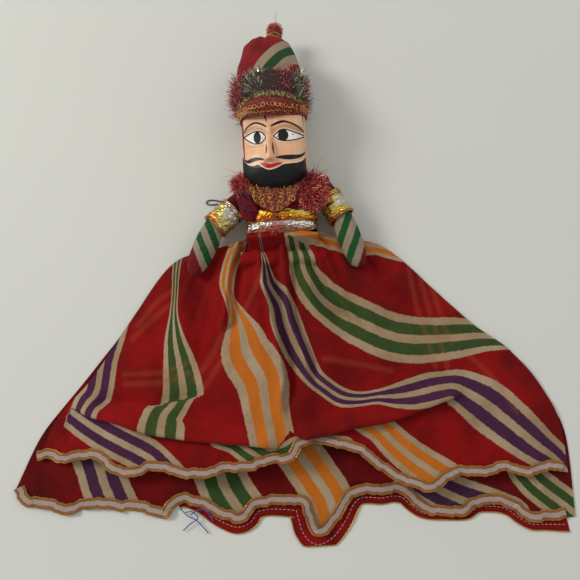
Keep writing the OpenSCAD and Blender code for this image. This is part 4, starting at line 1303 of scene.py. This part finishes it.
def cloth_stuff(name, light, dark, pitch=0.0006):
    """Plain dyed cotton, mottled lighter and darker at random."""
    s = Stuff(name, Sheen_Weight=0.05, Specular_IOR_Level=0.15)
    warp, weft = s.weave(pitch, 0.3)
    cloud = s.noise(70, 4)
    thread = 0.5 + 0.25 * (warp + weft)
    colour = s.mix(s.step(cloud, 0.3, 0.7), light, dark)
    colour = s.mix(0.35 * thread, colour, dark)
    return s.done(colour, 0.8, s.bump(thread + 1.5 * s.noise(220, 4), 0.0004))


maroon = cloth_stuff("maroon cotton", paint(128, 12, 18), paint(78, 6, 12))
BODY_ROWS = [(1.2, 24, 5, 26), (2.2, 27.4, 2.4, 29.6), (5, 28.6, 1.4, 31), (24, 28.8, 1.3, 31.2),
             (38, 28.6, 1.4, 31.2), (44.5, 27.4, 2.6, 30), (46.6, 23, 6, 26)]
rings = np.array([body_ring(*row) for row in BODY_ROWS])
fine = np.linspace(0, len(rings) - 1, 40)
rings = np.stack([[np.interp(fine, range(len(rings)), rings[:, c, k]) for k in range(3)]
                  for c in range(rings.shape[1])], 1).transpose(2, 1, 0)
rings[..., 2] += 0.4 * np.sin(rings[..., 0] / 3 + rings[..., 1] / 5) * (rings[..., 2] > 16)
points, faces = shell(rings)
finish_piece(piece("bodice_cloth", points, faces, maroon), "torso", "bodice_cloth", "bodice")


def foil_ring(name, y0, y1, low, high, half, stuff, node, slot, seed, puff=1.6, pinch=None):
    """A wide strip of foil wrapped round the body, crumpled in its length."""
    local = np.random.default_rng(seed)
    rows, cols = 30, 300
    t = np.linspace(-1, 1, rows)
    a = np.linspace(0, 2 * np.pi, cols, endpoint=False)
    phase = local.uniform(0, 6.28, 6)
    rings, tones = [], []
    for k in t:
        crush = sum(0.16 * np.sin(m * a + p + 2.2 * k * (1 + i)) for i, (m, p) in enumerate(
            zip((23, 37, 51, 64, 90, 17), phase)))
        crush += 0.35 * np.sin(5 * k + 3 * np.sin(3 * a + phase[0]))
        swell = puff * (1 - k * k) ** 0.7 + crush * (1 - abs(k) ** 6)
        ring = body_ring((y0 + y1) / 2 + k * (y1 - y0) / 2, half, low, high, 0.66, cols)
        middle = np.array([0, ring[0, 1], (low + high) / 2])
        ring = ring + unit(ring - middle) * swell[:, None]
        edge_wave = 0.5 * np.sin(7 * a + phase[1]) + 0.3 * np.sin(19 * a + phase[2])
        ring[:, 1] += edge_wave * abs(k)
        if pinch is not None:
            near = np.exp(-((ring[:, 0] - pinch) / 3.0) ** 2) * (ring[:, 2] > 18)
            ring[:, 2] -= 1.9 * near * (1 - 0.3 * k)
            ring[:, 1] -= 1.8 * near * k * 2
        rings.append(ring)
        tones.append(0.5 - 0.5 * k + 0.25 * np.sin(4 * a + phase[3]))
    rings = np.array(rings)
    rings[..., 2] = np.clip(rings[..., 2], 0.2, 35)
    inner = [ring + unit(np.array([0, ring[0, 1], (low + high) / 2]) - ring) * 1.0 for ring in rings[::-1]]
    loop = np.vstack([rings, np.array(inner)])
    faces = closed_faces(len(loop), cols)
    tone = np.r_[np.array(tones).ravel(), np.array(tones[::-1]).ravel()]
    obj = piece(name, loop.reshape(-1, 3), faces, stuff, {"tone": tone})
    fix_winding(obj)
    return finish_piece(obj, "torso", slot, node)


def fix_winding(obj):
    """Turns a closed shell right side out."""
    mesh = obj.data
    mesh.calc_loop_triangles()
    v = np.array([p.co for p in mesh.vertices])
    t = np.array([tri.vertices for tri in mesh.loop_triangles])
    if np.einsum("ij,ij->i", v[t[:, 0]], np.cross(v[t[:, 1]], v[t[:, 2]])).sum() < 0:
        mesh.flip_normals()


gold_foil = foil_stuff("gold foil", paint(238, 214, 120), paint(226, 164, 46), paint(178, 84, 24))
silver_foil = foil_stuff("silver foil", paint(228, 226, 218), paint(196, 186, 176), paint(176, 140, 112))
foil_ring("chest_gold_foil", 17.0, 27.5, 1.2, 32.2, 28.9, gold_foil, "chest_foil", "gold_foil", 2, 1.5, -3.5)
foil_ring("waist_silver_foil", 4.2, 17.4, 1.2, 32.0, 28.9, silver_foil, "waist_foil", "silver_foil", 4, 1.3)

# Copper thread, painted lighter on the crests of its plies and darker in the grooves between them: painted
# highlight and painted shade.
copper = Stuff("copper thread", Metallic=0.5)
copper = copper.done(copper.mix(copper.step(copper.field("strand"), -0.5, 0.8), paint(120, 36, 22),
                                paint(216, 140, 84)), 0.4, copper.bump(copper.field("strand"), 0.0002))
for k, (y, grow, wob) in enumerate(((7.4, 1.9, 0.5), (8.4, 2.1, 0.7), (9.4, 2.2, 0.7), (10.6, 2.2, 1.0),
                                    (17.2, 1.7, 1.0))):
    ring = body_ring(y, 28.9 + grow, 1.2 - 0.4 * grow, 32.2 + grow, 0.66, 220)
    a = np.linspace(0, 2 * np.pi, 220, endpoint=False)
    ring[:, 1] += wob * np.sin(3 * a + k) + 0.4 * np.sin(11 * a + 2 * k)
    ring[:, 2] = np.maximum(ring[:, 2], 0.5)
    ring = np.vstack([ring, ring[:6] + [0, 0.5, 0.2]])
    points, faces, fields = tube(ring, 0.42, 6, 2, 2.2)
    obj = piece(f"waist_thread_{k + 1}", points, faces, copper, fields)
    finish_piece(obj, "torso", "red_thread", *(("waist_thread",) if k == 0 else ()))

tassel_mat = tinsel_stuff("tassel thread", [paint(196, 30, 34), paint(150, 18, 26), paint(226, 110, 90)], 0.4,
                          0.3)
count = 90
a = rng.uniform(0, 2 * np.pi, count)
aims = np.stack([np.cos(a), np.sin(a) * 0.8, rng.uniform(0.15, 0.7, count)], 1)
spots = np.array([-5.0, 8.6, 35.0]) + rng.normal(0, 0.5, (count, 3))
finish_piece(repeat("waist_tassel", "strand", tassel_mat, spots, aims, 7.5, 0.2, -2.0,
                    rng.uniform(0.5, 1.2, count), {"tone": rng.uniform(0, 1, count)}, 9), "torso",
             "red_tinsel")


# ---------- braided bib, shoulder tinsel and patches ----------

def bib_points():
    rows, cols = 46, 70
    y = np.linspace(24.5, 51, rows)
    half = np.interp(y, (24.5, 28, 34, 42, 51), (2.5, 9.5, 17, 21.5, 23))
    u = np.linspace(-1, 1, cols)[None]
    x = -5.5 + half[:, None] * u + 0 * y[:, None]
    z = 33.0 + 1.6 * (1 - u ** 4) + 0.5 * np.sin(x / 1.7) * np.sin(y[:, None] / 1.9)
    z = z + np.interp(y, (24.5, 28, 46, 51), (0.0, 0.8, 0.6, -3))[:, None]
    top = np.stack([x, y[:, None] + 0 * x, z], -1)
    low = top[:, ::-1].copy()
    low[..., 2] -= 2.2
    return np.concatenate([top, low], 1), top


bib, bib_top = bib_points()
points, faces = shell(bib)
finish_piece(piece("collar_braid", points, faces, rust_mat), "torso", "loop_braid", "collar_trim")
count = 1500
r, c = rng.integers(0, bib_top.shape[0], count), rng.integers(0, bib_top.shape[1], count)
aims = rng.normal(0, 0.6, (count, 3)) + [0, 0, 0.55]
finish_piece(repeat("collar_pile", "strand", pile_mat, bib_top[r, c], aims, 2.2, 0.2, 0.9,
                    rng.uniform(0.5, 1.2, count), {"tone": rng.uniform(0, 1, count)}, 10), "torso",
             "loop_braid")
spots, aims = [], []
for bottom, top in (((-21, 34), (-26, 50)), ((-15, 29), (-19, 50)), ((-8.5, 26), (-11, 50)),
                    ((-1.5, 26), (2, 48)), ((4.5, 30), (9, 52)), ((9.5, 33), (15, 52))):
    n = 11
    for k in range(n):
        t = k / (n - 1)
        x = bottom[0] + (top[0] - bottom[0]) * t + rng.normal(0, 0.5)
        y = bottom[1] + (top[1] - bottom[1]) * t + rng.normal(0, 0.3)
        spots.append((x, y, 35.6 - 3.0 * ease(y, 46, 51) + rng.normal(0, 0.4)))
        aims.append((rng.normal(0, 0.75), rng.normal(0, 0.6), 1))
loop_sizes = rng.uniform(0.65, 1.15, len(spots))
chain_mat = Stuff("collar chain", Metallic=0.75)
chain_mat = chain_mat.done(
    chain_mat.mix(chain_mat.step(chain_mat.noise(120), 0.42, 0.6), paint(246, 178, 104), paint(214, 168, 84)),
    0.3, chain_mat.bump(chain_mat.noise(2400), 0.00012))
finish_piece(repeat("collar_loops", "loop", chain_mat, spots, aims, 1.9, 0.3, sizes=loop_sizes, seed=11),
             "torso", "loop_braid")

shoulder_foil = tinsel_stuff("red shoulder foil", [paint(180, 16, 30), paint(214, 34, 48), paint(124, 8, 20),
                                                   paint(236, 120, 96)], 0.2, 0.8)


def bunch(name, node, low, high, z, count, lean, length, seed):
    """A bunch of foil strands in an oval on the shoulder, all combed one way."""
    local = np.random.default_rng(seed)
    middle, half = (np.array(low) + high) / 2, (np.array(high) - low) / 2
    p = unit(local.normal(0, 1, (count, 3))) * (local.uniform(0, 1, (count, 1)) ** 0.33)
    spots = np.stack([middle[0] + half[0] * p[:, 0], middle[1] + half[1] * p[:, 1], z + 3.0 * p[:, 2]], 1)
    aims = p * [0.8, 0.8, 0.5] + lean + local.normal(0, 0.35, (count, 3))
    obj = repeat(name, "strand", shoulder_foil, spots, aims, length, 0.36, 1.6,
                 local.uniform(0.5, 1.15, count), {"tone": local.uniform(0, 1, count)}, seed)
    return finish_piece(obj, "torso", "red_tinsel", node)


bunch("left_shoulder_tinsel", "left_tinsel", (-40, 43), (-25, 58), 32.8, 1100, (-0.3, 0.1, 0.0), 6.0, 21)
bunch("right_shoulder_tinsel", "right_tinsel", (16, 29), (37, 58), 33.2, 2400, (0.4, -0.5, -0.05), 9.0, 22)


def patch(name, node, outline_rows, stuff, slot):
    """A small padded piece of cloth given by rows of (left, right, along, height)."""
    rows = np.array(outline_rows, float)
    t = np.linspace(0, len(rows) - 1, 34)
    rows = np.stack([np.interp(t, range(len(rows)), rows[:, k]) for k in range(4)], 1)
    u = np.linspace(-1, 1, 30)
    x = (rows[:, :1] + rows[:, 1:2]) / 2 + (rows[:, 1:2] - rows[:, :1]) / 2 * u[None]
    z = rows[:, 3:4] - 3.0 * np.abs(u[None]) ** 2.4 + 0.35 * np.sin(x * 1.1 + rows[:, 2:3] * 0.5)
    top = np.stack([x, rows[:, 2:3] + 0 * x, z], -1)
    low = top[:, ::-1].copy()
    low[..., 2] -= 1.3
    points, faces = shell(np.concatenate([top, low], 1))
    obj = piece(name, points, faces, stuff, {"tone": 0.5 + 0 * points[:, 0]})
    return finish_piece(obj, "torso", slot, node)


patch_cloth = cloth_stuff("patch cloth", paint(150, 10, 20), paint(92, 8, 22))
patch("left_shoulder_patch", "left_yoke",
      [(-29, -25, 17.5, 33.6), (-34, -21.5, 20.5, 34.6), (-35.5, -20, 26, 35.2), (-36.5, -21, 32, 34.8),
       (-39, -24, 39, 33.4), (-41, -26, 46, 31.5), (-40, -27, 51, 28)], patch_cloth, "patch_cloth")
navy = Stuff("navy yarn")
navy = navy.done(navy.mix(navy.noise(500), paint(16, 18, 58), paint(44, 40, 96)), 0.7,
                 navy.bump(navy.noise(1500), 0.0002))
for k, line in enumerate(([(-37.5, 47, 33.2), (-33.5, 40, 35.0), (-29.5, 34, 35.6), (-24, 30.5, 35.4)],
                          [(-33, 49, 31.4), (-30, 42, 34.4), (-26, 36, 35.2)],
                          [(-35.5, 31, 35.0), (-31, 27.5, 36.0), (-24, 25, 35.6)])):
    points, faces, fields = tube(smooth_line(line, 0.6), 0.55, 8, 2, 2.2)
    finish_piece(piece(f"patch_yarn_{k + 1}", points, faces, navy, fields), "torso", "navy_thread")
patch("right_shoulder_patch", "right_yoke",
      [(24, 29, 24, 31), (22, 33, 30, 32.6), (23, 38, 38, 32.6), (25, 41, 46, 32), (27, 43, 54, 30),
       (28, 42, 60, 25)], patch_cloth, "patch_cloth")


# ---------- arms ----------

ARM_Z = 17.0
POSES = {"left": ((-33.0, 43.0), 223, 245), "right": ((34.5, 53.0), 300, 286)}
UPPER_L, FORE_L = 36.0, 45.5


def arm_line(side, s0, s1, lower=False, n=60):
    """Points along the middle of an arm or forearm, its direction and its sideways direction."""
    shoulder, upper, fore = POSES[side]
    du = np.array([math.cos(math.radians(upper)), math.sin(math.radians(upper))])
    df = np.array([math.cos(math.radians(fore)), math.sin(math.radians(fore))])
    start = np.array(shoulder) + (UPPER_L * du if lower else 0)
    d = df if lower else du
    s = np.linspace(s0, s1, n)
    line = np.stack([start[0] + d[0] * s, start[1] + d[1] * s, 0 * s + ARM_Z], 1)
    return line, np.array([d[0], d[1], 0]), np.array([d[1], -d[0], 0]), s


def arm_shell(side, s0, s1, radius, lower=False, n=60, cols=72, crush=0.0, seed=0):
    line, ahead, across, s = arm_line(side, s0, s1, lower, n)
    local = np.random.default_rng(seed + 40)
    phase = local.uniform(0, 6.28, 5)
    a = np.linspace(0, 2 * np.pi, cols, endpoint=False)
    r = np.broadcast_to(radius(s) if callable(radius) else radius, (n,))[:, None]
    wave = sum(np.sin(m * a[None] + k * s[:, None] + p) for m, k, p in zip(
        (3, 5, 8, 13), (0.31, -0.5, 0.8, 0.35), phase))
    r = r * (1 + crush * wave)
    rings = (line[:, None] + r[..., None] * (np.cos(a)[None, :, None] * across
                                             + np.sin(a)[None, :, None] * np.array([0, 0, 1.0])))
    return rings, np.broadcast_to(s[:, None], r.shape), np.broadcast_to(a[None], r.shape)


def striped_stuff(name, first):
    """Cotton printed with even cream and green bands; red before the first."""
    s = Stuff(name, Sheen_Weight=0.05, Specular_IOR_Level=0.15)
    warp, weft = s.weave(0.0007, 0.5)
    b = s.field("bands") + 0.25 * (s.noise(240, 2) - 0.5)
    cream = s.mix(s.noise(80), paint(188, 172, 144), paint(160, 140, 114))
    green = s.mix(s.noise(90), paint(36, 104, 52), paint(24, 78, 40))
    red = s.mix(s.noise(70), paint(150, 16, 18), paint(104, 8, 12))
    band = s.step(abs(b.wrap(2.0) - 1.5), 0.53, 0.47)
    colour = s.mix(band, cream, green)
    colour = s.mix(s.step(b, first + 0.03, first - 0.03), colour, red)
    colour = s.mix(s.step(b, first + 5.03, first + 5.09), colour, red)
    thread = 0.5 + 0.25 * (warp + weft)
    colour = s.mix(0.28 * thread, colour, paint(40, 30, 26))
    return s.done(colour, 0.78, s.bump(thread + 1.6 * s.noise(200, 4), 0.00045))


def cuff_radius(s):
    """The foil cuff's outer radius along the arm."""
    return 11.9 + 0.35 * np.sin(s * 1.1) + 0.25 * np.sin(s * 2.7 + 1)


striped = striped_stuff("striped cotton", 0.0)
cuff_mats = {
    "left": foil_stuff("left cuff foil", paint(222, 218, 206), paint(206, 196, 120), paint(214, 150, 62),
                       150),
    "right": foil_stuff("right cuff foil", paint(214, 206, 190), paint(214, 190, 92), paint(204, 140, 66),
                        150)}
for side, spot, slope, wide in (("left", (-75.0, 1.5), (0.94, 0.34), 5.6),
                                ("right", (53.3, 10.5), (0.93, -0.364), 6.0)):
    # Sleeve from the shoulder to under the cuff
    rings, s, a = arm_shell(side, -5, 34.5, lambda s: np.interp(s, (-5, -3, 2, 12, 34.5),
                                                                (4, 7.5, 9.6, 10.4, 10.2)),
                            n=50, crush=0.012, seed=1)
    points, faces = shell(rings)
    sleeve = piece(f"{side}_sleeve_cloth", points, faces, maroon)
    line, ahead, across, _ = arm_line(side, 3, 15, n=2)
    tuple(metres(line[0]))
    tuple(metres(line[1]))
    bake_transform(sleeve)
    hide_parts(f"{side}_upper_arm", f"{side}_arm_tab")

    # Foil cuff, open at both ends, with a cord at each rim
    n, cols = 34, 150
    outer, s, a = arm_shell(side, 12.5, 35.5, cuff_radius, n=n, cols=cols, crush=0.008, seed=5)
    inner, _, _ = arm_shell(side, 12.5, 35.5, 10.9, n=n, cols=cols)
    loop = np.vstack([outer, inner[::-1]])
    faces = closed_faces(len(loop), cols)
    tone = (s - 12.5) / 23 if side == "left" else 0.2 + 0.8 * np.abs((s - 24) / 12)
    tone = tone + 0.25 * np.sin(2 * a)
    cuff = piece(f"{side}_cuff_foil", loop.reshape(-1, 3), faces, cuff_mats[side],
                 {"tone": np.r_[tone.ravel(), tone[::-1].ravel()]})
    fix_winding(cuff)
    finish_piece(cuff, f"{side}_arm", "gold_foil", f"{side}_armlet")
    for k, (s_at, r_at) in enumerate(((12.8, 12.1), (14.6, 12.2), (16.2, 12.1), (33.8, 12.1), (35.3, 12.2))):
        line, ahead, across, _ = arm_line(side, s_at, s_at + 0.01, n=2)
        a = np.linspace(0, 2 * np.pi, 80, endpoint=False)
        ring = line[0] + r_at * (np.cos(a)[:, None] * across + np.sin(a)[:, None] * np.array([0, 0, 1.0]))
        ring = ring + ahead * (0.35 * np.sin(2 * a + k))[:, None]
        ring = np.vstack([ring, ring[:4] + ahead * 0.4])
        points, faces, fields = tube(ring, 0.36, 6, 2, 2.0, up=ahead)
        finish_piece(piece(f"{side}_cuff_cord_{k + 1}", points, faces, copper, fields), f"{side}_arm",
                     "red_thread")

    # Stuffed forearm of striped cloth, its end folded in for the hand
    rings, s, a = arm_shell(side, -7, FORE_L + 0.5, lambda s: np.interp(
        s, (-7, -6, -3, 4, 14, 26, 36, 41, 44, 45.6, 46),
        (2.5, 6, 8.8, 9.6, 10.3, 10.0, 8.6, 7.0, 5.0, 2.8, 1.2)),
        lower=True, n=110, cols=110, crush=0.009, seed=9 if side == "left" else 14)
    t = ((rings[..., 0] - spot[0]) * slope[0] + (rings[..., 1] - spot[1]) * slope[1]) / wide
    bands = t + (0.5 if side == "left" else 1.5)
    bands = np.where(rings[..., 2] < ARM_Z, bands + (ARM_Z - rings[..., 2]) * 0.05 * np.sign(np.cos(a)),
                     bands)
    points, faces = shell(rings)
    fore = piece(f"{side}_forearm_cloth", points, faces, striped,
                 {"bands": np.r_[bands.ravel(), bands[0].mean(), bands[-1].mean()]})
    line, ahead, across, _ = arm_line(side, -5, 3, lower=True, n=2)
    tuple(metres(line[0]))
    tuple(metres(line[1]))
    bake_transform(fore)
    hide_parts(f"{side}_forearm", f"{side}_hand")


# ---------- stitching and loose threads on the skirt ----------

def stitch_line(name, line, out, inward, lift, gap, length, stuff, slot, body="skirt"):
    """A running stitch beside a line: short bars laid end to end with gaps."""
    run = run_along(line)
    at = np.arange(gap, run[-1] - gap, gap)
    spots = np.stack([np.interp(at, run, (line - out * inward)[:, k]) for k in range(3)], 1) + [0, 0, lift]
    ahead = np.stack([np.interp(at, run, unit(np.gradient(line, axis=0))[:, k]) for k in range(3)], 1)
    return finish_piece(repeat(name, "stitch", stuff, spots, ahead, length, 0.22), body, slot)


pale_thread = Stuff("pale thread")
pale_thread = pale_thread.done(pale_thread.mix(pale_thread.noise(800), paint(226, 206, 190),
                                               paint(170, 130, 120)), 0.6,
                               pale_thread.bump(pale_thread.noise(1800), 0.0001))
facing_line = facing_top[:, 8]
stitch_line("back_facing_stitches", facing_line, 0 * facing_line, 0, 0.35, 3.4, 2.0, pale_thread,
            "red_thread")
for name, (line, out) in (("front", front_hem), ("back", back_hem)):
    stitch_line(f"{name}_hem_upper_stitches", line, out, 3.6, 1.75, 2.6, 1.7, gold_mat, "gold_braid")
    stitch_line(f"{name}_hem_lower_stitches", line, out, -3.3, 1.95, 2.6, 1.7, gold_mat, "gold_braid")

blue_thread = Stuff("blue thread")
blue_thread = blue_thread.done(blue_thread.mix(blue_thread.noise(500), paint(24, 44, 120),
                                               paint(60, 90, 170)), 0.6,
                               blue_thread.bump(blue_thread.noise(1800), 0.0001))
for k, line in enumerate((
        [(-92, -213, 3.2), (-86, -219, 3.4), (-80, -222, 3.2), (-74, -228, 2.4), (-70, -233, 1.6)],
        [(-88, -216, 3.4), (-82, -216, 4.2), (-78, -221, 3.6), (-84, -225, 2.8), (-90, -230, 1.6)],
        [(-84, -218, 3.6), (-76, -214, 3.9), (-70, -217, 3.6), (-66, -224, 2.4)])):
    points, faces, fields = tube(smooth_line(line, 0.5), 0.4, 6, 2, 2.0)
    finish_piece(piece(f"hem_blue_thread_{k + 1}", points, faces, blue_thread, fields), "skirt",
                 "navy_thread")


# ---------- carried-over parts and soft goods ----------

plain_red = cloth_stuff("plain red cotton", RED, RED_DARK)
string_knots = ["neck_knot", "string_loop_knot", "string_end_knot"]
for node, stuff in (("waist_stitch", string_mat),
                    ("left_shoulder_thread", string_mat), ("right_shoulder_thread", string_mat),
                    ("left_elbow_thread", string_mat), ("left_arm_thread", string_mat),
                    ("right_elbow_thread", string_mat), ("right_arm_thread", string_mat),
                    ("waist_tie", plain_red), ("waist_cord", string_mat), ("skirt_casing", plain_red),
                    *((knot, string_mat) for knot in string_knots)):
    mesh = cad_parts[node].data
    mesh.materials.clear()
    mesh.materials.append(stuff)

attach(control_string, "torso")
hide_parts("control_string", "string_coil")
tuple(float(v) for v in metres([-3, 54.2, 6]))
[tuple(float(v) for v in p) for p in metres(string_line[::2])]


# ---------- floor, light and finish ----------

def add_floor():
    mesh = bpy.data.meshes.new("floor")
    far = 3.0
    mesh.from_pydata([(-far, -far, -0.0002), (far, -far, -0.0002), (far, far, -0.0002), (-far, far, -0.0002)],
                     [], [(0, 1, 2, 3)])
    s = Stuff("floor paper")
    mesh.materials.append(s.done(s.mix(s.noise(3), paint(214, 214, 206), paint(220, 220, 212)), 0.85,
                                 s.bump(s.noise(900), 0.00005)))
    floor = bpy.data.objects.new("floor", mesh)
    bpy.context.scene.collection.objects.link(floor)


def add_light(name, place, size, power, colour):
    data = bpy.data.lights.new(name, "AREA")
    data.size = size
    data.energy = power
    data.color = colour
    lamp = bpy.data.objects.new(name, data)
    lamp.location = place
    lamp.rotation_euler = (Vector((0, -0.05, 0)) - Vector(place)).to_track_quat("-Z", "Y").to_euler()
    bpy.context.scene.collection.objects.link(lamp)


add_floor()
add_light("window", (-1.7, 0.7, 1.4), 0.7, 27, (1.0, 0.98, 0.95))
add_light("fill", (1.2, 0.6, 1.5), 1.4, 5, (1.0, 0.97, 0.94))
world = bpy.data.worlds.new("studio")
world.use_nodes = True
world.node_tree.nodes["Background"].inputs["Color"].default_value = (0.90, 0.92, 0.92, 1)
world.node_tree.nodes["Background"].inputs["Strength"].default_value = 0.5
bpy.context.scene.world = world
bpy.context.scene.view_settings.view_transform = "Standard"
